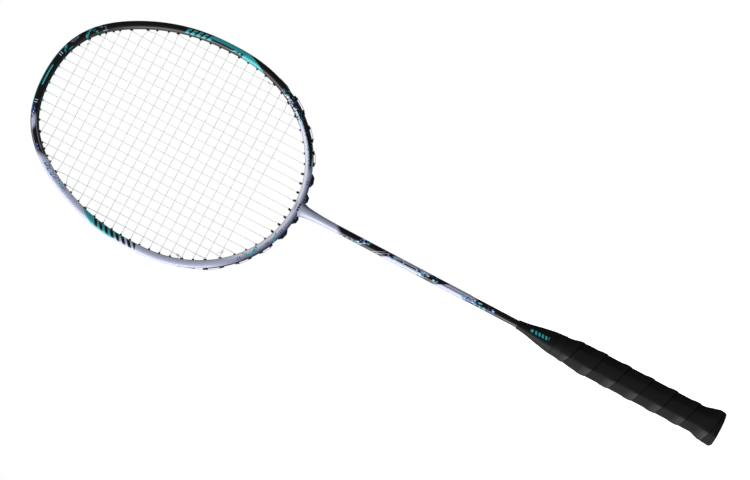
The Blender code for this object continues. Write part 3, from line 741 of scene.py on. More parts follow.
@dataclass(frozen=True)
class Resin:
    """Dark moulded resin with short fibres in it."""

    def material(self) -> bpy.types.Material:
        """Dress the T-joint."""
        graph = Graph("moulded_resin")
        x, y, z = graph.place()
        fibre = graph.noise(graph.vector(x * 3000.0, y * 3000.0, z * 400.0), 1.0, 2.0)
        colour = graph.over((0.03, 0.03, 0.03), (0.09, 0.09, 0.09), fibre)
        graph.relief(fibre, 0.00003)
        return graph.dress(Base_Color=colour, Roughness=graph.remap(fibre, 0.3, 0.7, 0.35, 0.55))


@dataclass(frozen=True)
class StapleSteel:
    """Drawn steel wire."""

    def material(self) -> bpy.types.Material:
        """Dress the staple."""
        graph = Graph("staple_wire")
        x, y, z = graph.place()
        drawn = graph.noise(graph.vector(x * 300.0, y * 300.0, z * 9000.0), 1.0, 2.0)
        colour = graph.over((0.50, 0.50, 0.50), (0.66, 0.66, 0.65), drawn)
        return graph.dress(Base_Color=colour, Metallic=1.0,
                           Roughness=graph.remap(drawn, 0.3, 0.7, 0.25, 0.42))


# ------------------------------------------------------------------ mesh making


@dataclass
class Skin:
    """Collects the faces of one piece and makes its mesh."""

    points: list[np.ndarray] = field(default_factory=list)
    faces: list[tuple[int, ...]] = field(default_factory=list)
    layout: list[tuple[float, float]] = field(default_factory=list)
    count: int = 0

    def grid(self, rows: np.ndarray, closed: bool = False, uv: np.ndarray | None = None,
             caps: bool = True) -> None:
        """Add rings of points joined into a tube.

        Args:
            rows: Points, as (ring, point, xyz). Each ring is closed.
            closed: Join the last ring to the first.
            uv: Layout as (ring, point, 2), one longer than rows in each closed direction.
            caps: Close the ends of an open tube.
        """
        count, around = rows.shape[:2]
        base = self.count
        self.points.append(rows.reshape(-1, 3))
        self.count += count * around
        last = count if closed else count - 1
        for i in range(last):
            far = (i + 1) % count
            for j in range(around):
                after = (j + 1) % around
                self.faces.append((base + i * around + j, base + i * around + after,
                                   base + far * around + after, base + far * around + j))
                if uv is None:
                    self.layout += [(0.5, 0.5)] * 4
                else:
                    self.layout += [tuple(uv[i, j]), tuple(uv[i, j + 1]),
                                    tuple(uv[i + 1, j + 1]), tuple(uv[i + 1, j])]
        if caps and not closed:
            for ring, start in ((0, base), (-1, base + (count - 1) * around)):
                loop = range(start, start + around)
                self.faces.append(tuple(loop) if ring else tuple(reversed(loop)))
                edge = [(0.5, 0.5)] * around if uv is None else [tuple(item) for item in uv[ring][:around]]
                self.layout += edge if ring else edge[::-1]

    def object(self, name: str, sharp: float = 40.0) -> bpy.types.Object:
        """Make the piece.

        Args:
            name: The object's name.
            sharp: Edges bent by more than this many degrees stay sharp.

        Returns:
            The object, linked to the scene.
        """
        mesh = bpy.data.meshes.new(name)
        mesh.from_pydata(np.concatenate(self.points).tolist(), [], self.faces)
        uv = mesh.uv_layers.new(name="layout")
        uv.data.foreach_set("uv", np.array(self.layout, dtype=np.float32).ravel())
        shape = bmesh.new()
        shape.from_mesh(mesh)
        bmesh.ops.recalc_face_normals(shape, faces=shape.faces)
        shape.to_mesh(mesh)
        shape.free()
        mesh.shade_smooth()
        mesh.set_sharp_from_angle(angle=math.radians(sharp))
        piece = bpy.data.objects.new(name, mesh)
        bpy.context.scene.collection.objects.link(piece)
        return piece


def finish_piece(piece: bpy.types.Object, material: bpy.types.Material, slot: str,
                 *nodes: str) -> bpy.types.Object:
    """Give a piece its material and tie it to the frame.

    Args:
        piece: The piece.
        material: Its material.
        slot: The record's material slot; not used.
        nodes: The model's nodes that it stands for.

    Returns:
        The piece.
    """
    piece.data.materials.clear()
    piece.data.materials.append(material)
    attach(piece, "root")
    if nodes:
        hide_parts(*nodes)
    log.info("%s: %d faces", piece.name, len(piece.data.polygons))
    return piece


def smooth_step(share: np.ndarray | float) -> np.ndarray | float:
    """Ease from 0 to 1 with flat ends."""
    share = np.clip(share, 0.0, 1.0)
    return share * share * (3 - 2 * share)


def ease_between(at: np.ndarray, knots: list[float], values: list[float]) -> np.ndarray:
    """Run smoothly from value to value, level at each knot.

    Args:
        at: Where to read, in the knots' units.
        knots: Rising places.
        values: The value at each.

    Returns:
        The eased values.
    """
    knots_array, values_array = np.array(knots), np.array(values)
    index = np.clip(np.searchsorted(knots_array, at) - 1, 0, len(knots) - 2)
    share = (at - knots_array[index]) / (knots_array[index + 1] - knots_array[index])
    return values_array[index] + (values_array[index + 1] - values_array[index]) * smooth_step(share)


def round_corners(points: list[np.ndarray], radius: float, steps: int = 4) -> np.ndarray:
    """Replace each corner of a route by a short curve.

    Args:
        points: The route.
        radius: How far from a corner its curve starts, at most.
        steps: Points along a curve.

    Returns:
        The eased route.
    """
    route = [points[0]]
    for before, corner, after in zip(points, points[1:], points[2:]):
        into, out = before - corner, after - corner
        reach_in = min(radius, 0.45 * np.linalg.norm(into))
        reach_out = min(radius, 0.45 * np.linalg.norm(out))
        start = corner + into / np.linalg.norm(into) * reach_in
        end = corner + out / np.linalg.norm(out) * reach_out
        for step in range(steps + 1):
            t = step / steps
            route.append(start * (1 - t) ** 2 + corner * 2 * t * (1 - t) + end * t ** 2)
    route.append(points[-1])
    return np.array(route)


def tube_rings(path: np.ndarray, radius: float, sides: int) -> np.ndarray:
    """Rings of points round a path, without twist.

    Args:
        path: Points along the middle.
        radius: The tube's radius.
        sides: Points in a ring.

    Returns:
        The rings, as (ring, point, xyz).
    """
    heading = np.gradient(path, axis=0)
    heading /= np.linalg.norm(heading, axis=1)[:, None]
    side = np.cross(heading[0], (0.0, 1.0, 0.0))
    if np.linalg.norm(side) < 0.1:
        side = np.cross(heading[0], (1.0, 0.0, 0.0))
    turns = np.linspace(0, 2 * np.pi, sides, endpoint=False)
    rings = np.empty((len(path), sides, 3))
    for index, ahead in enumerate(heading):
        side = side - ahead * np.dot(side, ahead)
        side /= np.linalg.norm(side)
        other = np.cross(ahead, side)
        rings[index] = path[index] + radius * (np.outer(np.cos(turns), side) + np.outer(np.sin(turns), other))
    return rings


def tube_layout(path: np.ndarray, sides: int) -> np.ndarray:
    """Layout of a tube: metres along and turns round.

    Args:
        path: The tube's route.
        sides: Points round it.

    Returns:
        The layout, as (point, side, 2).
    """
    lengths = np.concatenate([[0.0], np.cumsum(np.linalg.norm(np.diff(path, axis=0), axis=1))])
    grid = np.empty((len(path), sides + 1, 2))
    grid[..., 0] = lengths[:, None]
    grid[..., 1] = np.linspace(0, 1, sides + 1)[None, :]
    return grid


def turned_rings(profile: list[tuple[float, float]], steps: int) -> np.ndarray:
    """Rings of a turned shape.

    Args:
        profile: Radius and height pairs.
        steps: Points in a ring.

    Returns:
        The rings, starting at the back and turning over +X.
    """
    turns = np.linspace(0, 2 * np.pi, steps, endpoint=False)
    ring = np.stack([np.sin(turns), np.cos(turns), np.zeros(steps)], axis=1)
    rows = [ring * radius + np.array([0.0, 0.0, height]) for radius, height in profile]
    return np.array(rows)


def eased_profile(knots: list[tuple[float, float]], spacing: float) -> list[tuple[float, float]]:
    """A profile read from a smooth curve through its knots.

    Args:
        knots: Radius and height pairs, rising or falling in height.
        spacing: Height between the points read.

    Returns:
        Radius and height pairs.
    """
    heights = np.array([item[1] for item in knots])
    radii = np.array([item[0] for item in knots])
    order = np.argsort(heights)
    heights, radii = heights[order], radii[order]
    slopes = np.gradient(radii, heights)
    wanted = np.arange(heights[0], heights[-1] + spacing / 2, spacing)
    index = np.clip(np.searchsorted(heights, wanted) - 1, 0, len(heights) - 2)
    span = heights[index + 1] - heights[index]
    t = np.clip((wanted - heights[index]) / span, 0, 1)
    curve = ((2 * t ** 3 - 3 * t ** 2 + 1) * radii[index] + (t ** 3 - 2 * t ** 2 + t) * span * slopes[index]
             + (-2 * t ** 3 + 3 * t ** 2) * radii[index + 1] + (t ** 3 - t ** 2) * span * slopes[index + 1])
    return list(zip(curve.tolist(), wanted.tolist()))


# ------------------------------------------------------------------ head


def signed_power(value: np.ndarray, power: np.ndarray | float) -> np.ndarray:
    """The power of a number's size, with the number's sign."""
    return np.sign(value) * np.abs(value) ** power


@dataclass
class HeadOutline:
    """The oval that the hoop's outer edge follows, with the hoop's thickness along it."""

    half_width: float = 0.1014
    tip_z: float = 0.6756
    widest_z: float = 0.533
    drop: float = 0.115
    upper_power: float = 2.145
    lower_power: float = 2.10
    side_thickness: float = 0.0071
    tip_thickness: float = 0.0075
    throat_thickness: float = 0.0072
    groove: float = 0.0013
    groove_ends: tuple[float, float] = (math.radians(106), math.radians(120))
    wave_height: float = 0.0007
    wave_angle: float = math.radians(56)
    draw_in: float = 0.0009
    draw_in_start: float = math.radians(100)
    draw_in_span: float = math.radians(85)

    def dip(self, angle: np.ndarray | float) -> np.ndarray:
        """How far the outer edge lies inside the super-ellipses.

        Args:
            angle: Angle from the tip.

        Returns:
            The depth in metres.
        """
        folded = np.abs((np.asarray(angle, dtype=float) + np.pi) % (2 * np.pi) - np.pi)
        fade = 1 - (folded / (np.pi / 2)) ** 4
        wave = self.wave_height * np.cos(2 * np.pi * folded / self.wave_angle) * fade
        along = np.maximum(0.0, folded - self.draw_in_start) / self.draw_in_span
        return np.where(folded < np.pi / 2, wave, self.draw_in * np.sin(np.pi * along) ** 2)

    def _half(self, angle: np.ndarray) -> tuple[np.ndarray, np.ndarray]:
        """Height and power of the half that each angle falls on."""
        upper = np.cos(angle) > 0
        return (np.where(upper, self.tip_z - self.widest_z, self.drop),
                np.where(upper, self.upper_power, self.lower_power))

    def normal(self, angle: np.ndarray | float) -> np.ndarray:
        """Outward direction of the outer edge, as (..., xyz).

        Args:
            angle: Angle from the tip.

        Returns:
            Unit directions.
        """
        angle = np.asarray(angle, dtype=float)
        height, power = self._half(angle)
        across = signed_power(signed_power(np.sin(angle), 2 / power), power - 1) / self.half_width
        up = signed_power(signed_power(np.cos(angle), 2 / power), power - 1) / height
        length = np.hypot(across, up)
        return np.stack([across / length, np.zeros_like(across), up / length], axis=-1)

    def point(self, angle: np.ndarray | float, rise: np.ndarray | float = 0.0,
              depth: np.ndarray | float = 0.0) -> np.ndarray:
        """A point near the outer edge.

        Args:
            angle: Angle from the tip towards +X.
            rise: Height above the edge, outwards.
            depth: Distance behind the face's middle plane.

        Returns:
            The points, as (..., xyz).
        """
        angle = np.asarray(angle, dtype=float)
        height, power = self._half(angle)
        x = self.half_width * signed_power(np.sin(angle), 2 / power)
        z = self.widest_z + height * signed_power(np.cos(angle), 2 / power)
        rise, depth, x, z = np.broadcast_arrays(rise - self.dip(angle), depth, x, z)
        return np.stack([x, depth, z], axis=-1) + self.normal(angle) * rise[..., None]

    def thickness(self, angle: np.ndarray | float) -> np.ndarray:
        """The hoop's thickness in the plane of the face."""
        lean = np.cos(np.asarray(angle, dtype=float))
        end = np.where(lean > 0, self.tip_thickness, self.throat_thickness)
        return self.side_thickness + (end - self.side_thickness) * lean * lean

    def groove_depth(self, angle: np.ndarray | float) -> np.ndarray:
        """The outer groove's depth, which fades out below the widest part."""
        start, end = self.groove_ends
        folded = np.abs((np.asarray(angle, dtype=float) + np.pi) % (2 * np.pi) - np.pi)
        return self.groove * (1 - np.clip((folded - start) / (end - start), 0, 1))

    def arc_table(self) -> tuple[np.ndarray, np.ndarray]:
        """Angles round the hoop and the arc length to each, from the tip."""
        angles = np.linspace(0, 2 * np.pi, 7201)
        points = self.point(angles)
        steps = np.linalg.norm(np.diff(points, axis=0), axis=1)
        return angles, np.concatenate([[0.0], np.cumsum(steps)])

    def girth(self) -> float:
        """Length round the outer edge."""
        return float(self.arc_table()[1][-1])

    def nub_point(self, angle: float, nub: float) -> np.ndarray:
        """Where a string turns in at the inner side."""
        return self.point(angle, -self.thickness(angle) - nub)


@dataclass
class Hole:
    """One grommet hole: where its string turns in, and where it comes out."""

    angle: float
    inner: np.ndarray
    outer: np.ndarray
    shared: bool
    normal: np.ndarray

    @property
    def axis(self) -> np.ndarray:
        """The hole's direction, outwards."""
        along = self.outer - self.inner
        return along / np.linalg.norm(along)

    def exit(self, rise: float) -> np.ndarray:
        """The point on the axis at a rise above the outer edge."""
        return self.outer + self.axis * (rise / float(np.dot(self.axis, self.normal)))


@dataclass
class StringPlan:
    """The string pattern: where mains and crosses run, and the holes that they share."""

    outline: HeadOutline
    mains: int = 22
    main_pitch: float = 0.0082
    crosses: int = 21
    cross_middle: float = 0.5574
    cross_pitch: float = 0.0093
    cross_spread: float = 2.2e-6
    nub: float = 0.0014
    throat_nub: float = 0.0029
    share_within: float = 0.0050
    centre_tilt: float = 0.0026
    right: list[Hole] = field(default_factory=list)
    left: list[Hole] = field(default_factory=list)
    by_end: dict[tuple[Side, str, int], Hole] = field(default_factory=dict)

    def __post_init__(self) -> None:
        """Find every hole from the strings' places."""
        groups: list[list[tuple[float, str, int]]] = []
        for angle, kind, number in self._ends():
            last = groups[-1][0] if groups else None
            near = last and np.linalg.norm(self.outline.point(angle)
                                           - self.outline.point(last[0])) < self.share_within
            if near and (last[1] == "side") != (kind == "side"):
                groups[-1].append((angle, kind, number))
            else:
                groups.append([(angle, kind, number)])
        for group in groups:
            angle = sum(item[0] for item in group) / len(group)
            self.right.append(self._hole(angle, len(group) > 1))
            self.left.append(self._hole(-angle, len(group) > 1))
            for _, kind, number in group:
                self.by_end[Side.RIGHT, kind, number] = self.right[-1]
                self.by_end[Side.LEFT, kind, number] = self.left[-1]

    def main_x(self, index: int) -> float:
        """The place of a main, counted from -X."""
        return (index - (self.mains - 1) / 2) * self.main_pitch

    def cross_z(self, index: int) -> float:
        """The height of a cross, counted from the throat."""
        step = index - (self.crosses - 1) // 2
        return self.cross_middle + self.cross_pitch * step + self.cross_spread * step ** 3

    def _find(self, axis: int, target: float, low: float, high: float) -> float:
        """The angle between two limits where the nub's coordinate meets a target.

        Args:
            axis: 0 for the width, 2 for the height.
            target: The coordinate to meet.
            low: Lower limit.
            high: Upper limit.

        Returns:
            The angle.
        """
        start = self.outline.nub_point(low, self.nub)[axis] - target
        for _ in range(48):
            middle = (low + high) / 2
            here = self.outline.nub_point(middle, self.nub)[axis] - target
            if start * here <= 0:
                high = middle
            else:
                low, start = middle, here
        return low

    def _ends(self) -> list[tuple[float, str, int]]:
        """The right half's string ends in order from the tip."""
        ends = []
        for column in range(self.mains // 2):
            x = self.main_x(self.mains // 2 + column)
            ends.append((self._find(0, x, 0.0, math.pi / 2), "top", column))
            ends.append((self._find(0, x, math.pi / 2, math.pi), "bottom", column))
        for row in range(self.crosses):
            ends.append((self._find(2, self.cross_z(row), 0.05, math.pi - 0.05), "side", row))
        return sorted(ends)

    def _hole(self, angle: float, shared: bool) -> Hole:
        """The hole at an angle. The two beside the throat lean away from it.

        Args:
            angle: Angle from the tip.
            shared: Whether a main and a cross both use it.

        Returns:
            The hole.
        """
        nub = self.throat_nub if abs(angle) > THROAT_FROM else self.nub
        inner = self.outline.nub_point(angle, nub)
        outer = self.outline.point(angle)
        if abs(inner[0]) < self.main_pitch and inner[2] < self.outline.widest_z:
            outer = outer + np.array([math.copysign(self.centre_tilt, outer[0]), 0.0, 0.0])
        return Hole(angle, inner, outer, shared, self.outline.normal(angle))


def refine_ring(points: np.ndarray, rounds: int) -> np.ndarray:
    """Round off a closed ring by cutting its corners.

    Args:
        points: The ring, as (point, coordinate).
        rounds: How many times to cut.

    Returns:
        The rounded ring, with twice the points for each round.
    """
    for _ in range(rounds):
        ahead = np.roll(points, -1, axis=0)
        points = np.stack([points * 0.75 + ahead * 0.25, points * 0.25 + ahead * 0.75], axis=1)
        points = points.reshape(-1, points.shape[-1])
    return points


@dataclass
class Hoop:
    """The painted hoop with its throat."""

    outline: HeadOutline
    half_depth: float = 0.0053
    groove_half_width: float = 0.0024
    stations: int = 736
    stub_bottom: float = 0.3829
    stub_top: float = 0.4238
    stub_spread_from: float = 0.4176

    def build(self) -> bpy.types.Object:
        """Make the hoop and its throat as one piece.

        Returns:
            The dressed piece.
        """
        skin = Skin()
        self._sweep(skin)
        self._throat(skin)
        paint = HoopPaint(self.outline.girth() / MM)
        return finish_piece(skin.object("painted_hoop"), paint.material(), "hoop_paint", "frame_hoop")

    def _section(self, angle: float) -> np.ndarray:
        """The hoop's rounded section: pairs of rise and depth.

        Args:
            angle: Angle from the tip.

        Returns:
            Rise above the outer edge and depth, for each point.
        """
        thick = float(self.outline.thickness(angle))
        groove = float(self.outline.groove_depth(angle))
        half = np.array([
            (-groove, self.groove_half_width - 0.0002),
            (-0.00005, self.groove_half_width + 0.0002),
            (-0.00005, 0.0033),
            (-0.00040, 0.0041),
            (-0.0016, 0.0050),
            (-0.0034, self.half_depth + 0.0001),
            (-thick + 0.0018, 0.0049),
            (-thick + 0.0005, 0.0036),
            (-thick, 0.0014),
        ])
        other = half[::-1] * np.array([1.0, -1.0])
        return refine_ring(np.concatenate([half, other]), 2)

    def _sweep(self, skin: Skin) -> None:
        """Sweep the section round the outline, laid out by arc length and share across.

        Args:
            skin: Collects the faces.
        """
        angles, lengths = self.outline.arc_table()
        marks = np.linspace(0, lengths[-1], self.stations + 1)
        stations = np.interp(marks, lengths, angles)
        sections = [self._section(angle) for angle in stations]
        rows = np.array([self.outline.point(angle, section[:, 0], section[:, 1])
                         for angle, section in zip(stations[:-1], sections)])
        across = np.array([-section[:, 0] / self.outline.thickness(angle)
                           for angle, section in zip(stations, sections)])
        across = np.concatenate([across, across[:, :1]], axis=1)
        uv = np.stack([np.broadcast_to((marks / lengths[-1])[:, None], across.shape), across], axis=-1)
        skin.grid(rows, closed=True, uv=uv)

    def _throat(self, skin: Skin) -> None:
        """The stub that flares from the shaft into the hoop, with concave fillets.

        Args:
            skin: Collects the faces.
        """
        heights = np.linspace(self.stub_bottom, self.stub_top, 64)
        knots = [self.stub_bottom, 0.3900, 0.3980, 0.4060, 0.4120, 0.4158, 0.4176, 0.4190, self.stub_top]
        widths = np.array([3.52, 3.62, 3.90, 4.42, 5.15, 6.25, 7.60, 9.60, 15.0]) * MM
        depths = np.array([3.52, 3.60, 3.80, 4.15, 4.55, 4.85, 4.98, 5.06, 5.12]) * MM
        turns = np.linspace(0, 2 * np.pi, 64, endpoint=False)
        rows = []
        for z in heights:
            half_width = float(np.interp(z, knots, widths))
            half_depth = float(np.interp(z, knots, depths))
            bulge = 0.00035 * math.sin(math.pi * (z - self.stub_bottom) / (self.stub_top - self.stub_bottom))
            ring = np.stack([np.sin(turns) * half_width, np.cos(turns) * (half_depth + bulge),
                             np.full_like(turns, z)], axis=1)
            if z > self.stub_spread_from:
                drop = self.outline.drop / 2
                ring[:, 2] = z + (ring[:, 0] / self.outline.half_width) ** 2 * drop
            rows.append(ring)
        uv = np.full((len(rows), len(turns) + 1, 2), 0.5)
        skin.grid(np.array(rows), uv=uv)


# ------------------------------------------------------------------ grommets


@dataclass
class GrommetStrip:
    """A band that lies in the groove, with one barrel through the hoop for each hole."""

    name: str
    holes: list[Hole]
    outline: HeadOutline
    finish: Nylon
    slot: str
    blocks: bool = False
    band_gap: float = 0.0001
    band_thickness: float = 0.0005
    band_half_width: float = 0.0020
    block_rise: float = 0.0005
    block_half_depth: float = 0.0019
    barrel_radius: float = 0.00105
    shared_radius: float = 0.0015
    margin: float = 0.0021
    sides: int = 20

    def build(self) -> bpy.types.Object:
        """Make the strip.

        Returns:
            The dressed piece, standing for the model's strip.
        """
        skin = Skin()
        self._band(skin)
        for hole in self.holes:
            self.barrel(skin, hole)
            if self.blocks:
                self._block(skin, hole)
        return finish_piece(skin.object("trim_" + self.name), self.finish.material(), self.slot,
                            "grommet_strip_" + self.name)

    def _radius(self, hole: Hole) -> float:
        """The barrel's outer radius."""
        return self.shared_radius if hole.shared else self.barrel_radius

    def _band(self, skin: Skin) -> None:
        """The thin band, with eased edges and rounded ends.

        Args:
            skin: Collects the faces.
        """
        angles = sorted(hole.angle for hole in self.holes)
        reach = self.margin / self.outline.half_width
        first, last = angles[0] - reach, angles[-1] + reach
        stations = np.linspace(first, last, max(24, int((last - first) / 0.012)))
        low, high = self.band_gap, self.band_gap + self.band_thickness
        ease = 0.00016
        rows = []
        for index, angle in enumerate(stations):
            end = min(index, len(stations) - 1 - index)
            width = self.band_half_width * (0.55, 0.85, 1.0)[min(end, 2)]
            ring = np.array([(low, -width), (high - ease, -width), (high, -width + ease), (high, 0.0),
                             (high, width - ease), (high - ease, width), (low, width), (low, 0.0)])
            rows.append(self.outline.point(angle, ring[:, 0] - self.outline.groove_depth(angle), ring[:, 1]))
        skin.grid(np.array(rows))

    def barrel(self, skin: Skin, hole: Hole) -> None:
        """A barrel whose rounded nub stands inside the hoop and whose bore runs through.

        Args:
            skin: Collects the faces.
            hole: The hole it lines.
        """
        radius = self._radius(hole)
        bore = radius * 0.52
        start = hole.inner + hole.axis * 0.00034
        end = hole.exit(self.band_gap + self.band_thickness - float(self.outline.groove_depth(hole.angle)))
        length = float(np.linalg.norm(end - start))
        profile = [(bore, 0.0006), (bore + 0.0001, 0.00012), (bore + 0.00025, 0.0), (radius - 0.0003, 0.0),
                   (radius - 0.00008, 0.00012), (radius, 0.0004), (radius, length), (bore, length)]
        across = np.array([0.0, 1.0, 0.0])
        other = np.cross(hole.axis, across)
        turns = np.linspace(0, 2 * np.pi, self.sides, endpoint=False)
        ring = np.outer(np.cos(turns), across) + np.outer(np.sin(turns), other)
        rows = np.array([start + hole.axis * height + ring * size for size, height in profile])
        skin.grid(rows, closed=True)

    def _block(self, skin: Skin, hole: Hole) -> None:
        """A raised block round the mouth, where the hoop has no groove.

        Args:
            skin: Collects the faces.
            hole: The hole it stands round.
        """
        tangent = np.cross(hole.normal, (0.0, 1.0, 0.0))
        half = self._radius(hole) + 0.0008
        low = self.band_gap + self.band_thickness * 0.5
        high = self.band_gap + self.band_thickness + self.block_rise + 0.0004
        deep = self.block_half_depth
        corners = refine_ring(np.array([(-half, -deep), (half, -deep), (half, deep), (-half, deep)]), 2)
        base = self.outline.point(hole.angle, 0.0)
        rows = []
        for size, rise in ((1.0, low), (1.0, high - 0.0003), (0.93, high - 0.0001), (0.8, high)):
            flat = corners * size
            rows.append(base + hole.normal * rise + np.outer(flat[:, 0], tangent)
                        + np.outer(flat[:, 1], (0.0, 1.0, 0.0)))
        skin.grid(np.array(rows))


@dataclass
class ThroatPad:
    """A humped block beside the throat that carries one main's turn in a channel."""

    name: str
    holes: list[Hole]
    outline: HeadOutline
    finish: Nylon
    band_gap: float = 0.0001
    foot_rise: float = 0.0006
    pad_rise: float = 0.0027
    half_depth: float = 0.0023
    channel_half: float = 0.0006
    channel_floor: float = 0.0011

    def build(self) -> bpy.types.Object:
        """Make the pad and its two long barrels.

        Returns:
            The dressed piece.
        """
        skin = Skin()
        self._hump(skin)
        barrels = GrommetStrip(self.name, self.holes, self.outline, self.finish, "grommet_black")
        for hole in self.holes:
            barrels.barrel(skin, hole)
        return finish_piece(skin.object("trim_pad_" + self.name), self.finish.material(), "grommet_black",
                            "grommet_pad_" + self.name)

    def _hump(self, skin: Skin) -> None:
        """The hump, swept along the hoop as a section with a channel in its top.

        Args:
            skin: Collects the faces.
        """
        exits = [hole.exit(self.band_gap) for hole in self.holes]
        angle = (self.holes[0].angle + self.holes[1].angle) / 2
        normal = self.outline.normal(angle)
        along = exits[1] - exits[0]
        half = float(np.linalg.norm(along)) / 2
        along = along / np.linalg.norm(along)
        centre = (exits[0] + exits[1]) / 2
        foot = half + 0.0013
        rows = []
        for share in np.linspace(-1, 1, 41):
            place = share * foot
            swell = smooth_step((1 - abs(share)) / 0.62)
            top = self.foot_rise + (self.pad_rise - self.foot_rise) * swell
            floor = min(top - 0.00005, self.channel_floor)
            depth, slot = self.half_depth, self.channel_half
            if abs(share) > 0.96:
                depth *= 0.9
            ring = np.array([(0.0, -depth), (top * 0.6, -depth), (top - 0.0003, -depth * 0.93),
                             (top, -depth * 0.75), (top, -slot - 0.0003), (top - 0.0002, -slot),
                             (floor, -slot), (floor, slot),
                             (top - 0.0002, slot), (top, slot + 0.0003), (top, depth * 0.75),
                             (top - 0.0003, depth * 0.93), (top * 0.6, depth), (0.0, depth)])
            rows.append(centre + along * place + np.outer(ring[:, 0], normal)
                        + np.outer(ring[:, 1], (0.0, 1.0, 0.0)))
        skin.grid(np.array(rows))


@dataclass
class Grommets:
    """Every strip and pad round the hoop, from the tip to the throat."""

    plan: StringPlan
    ranges: tuple[tuple[str, int, int], ...] = (
        ("shoulder", 4, 10), ("upper_side", 10, 16), ("side", 16, 22), ("lower_side", 22, 26),
        ("corner", 26, 32))
    blocked: str = "corner"

    def build(self) -> None:
        """Make the tip's teal strip, then the black ones on both sides."""
        outline = self.plan.outline
        teal = Nylon("teal_nylon", TEAL)
        black = Nylon("black_nylon", (0.006, 0.006, 0.006))
        tip = self.plan.left[3::-1] + self.plan.right[:4]
        GrommetStrip("tip", tip, outline, teal, "grommet_teal").build()
        for side, row in (("right", self.plan.right), ("left", self.plan.left)):
            for name, start, end in self.ranges:
                GrommetStrip(f"{name}_{side}", row[start:end], outline, black, "grommet_black",
                             blocks=name == self.blocked).build()
            ThroatPad(f"outer_{side}", row[32:34], outline, black).build()
            ThroatPad(f"inner_{side}", row[34:36], outline, black).build()


# ------------------------------------------------------------------ strings


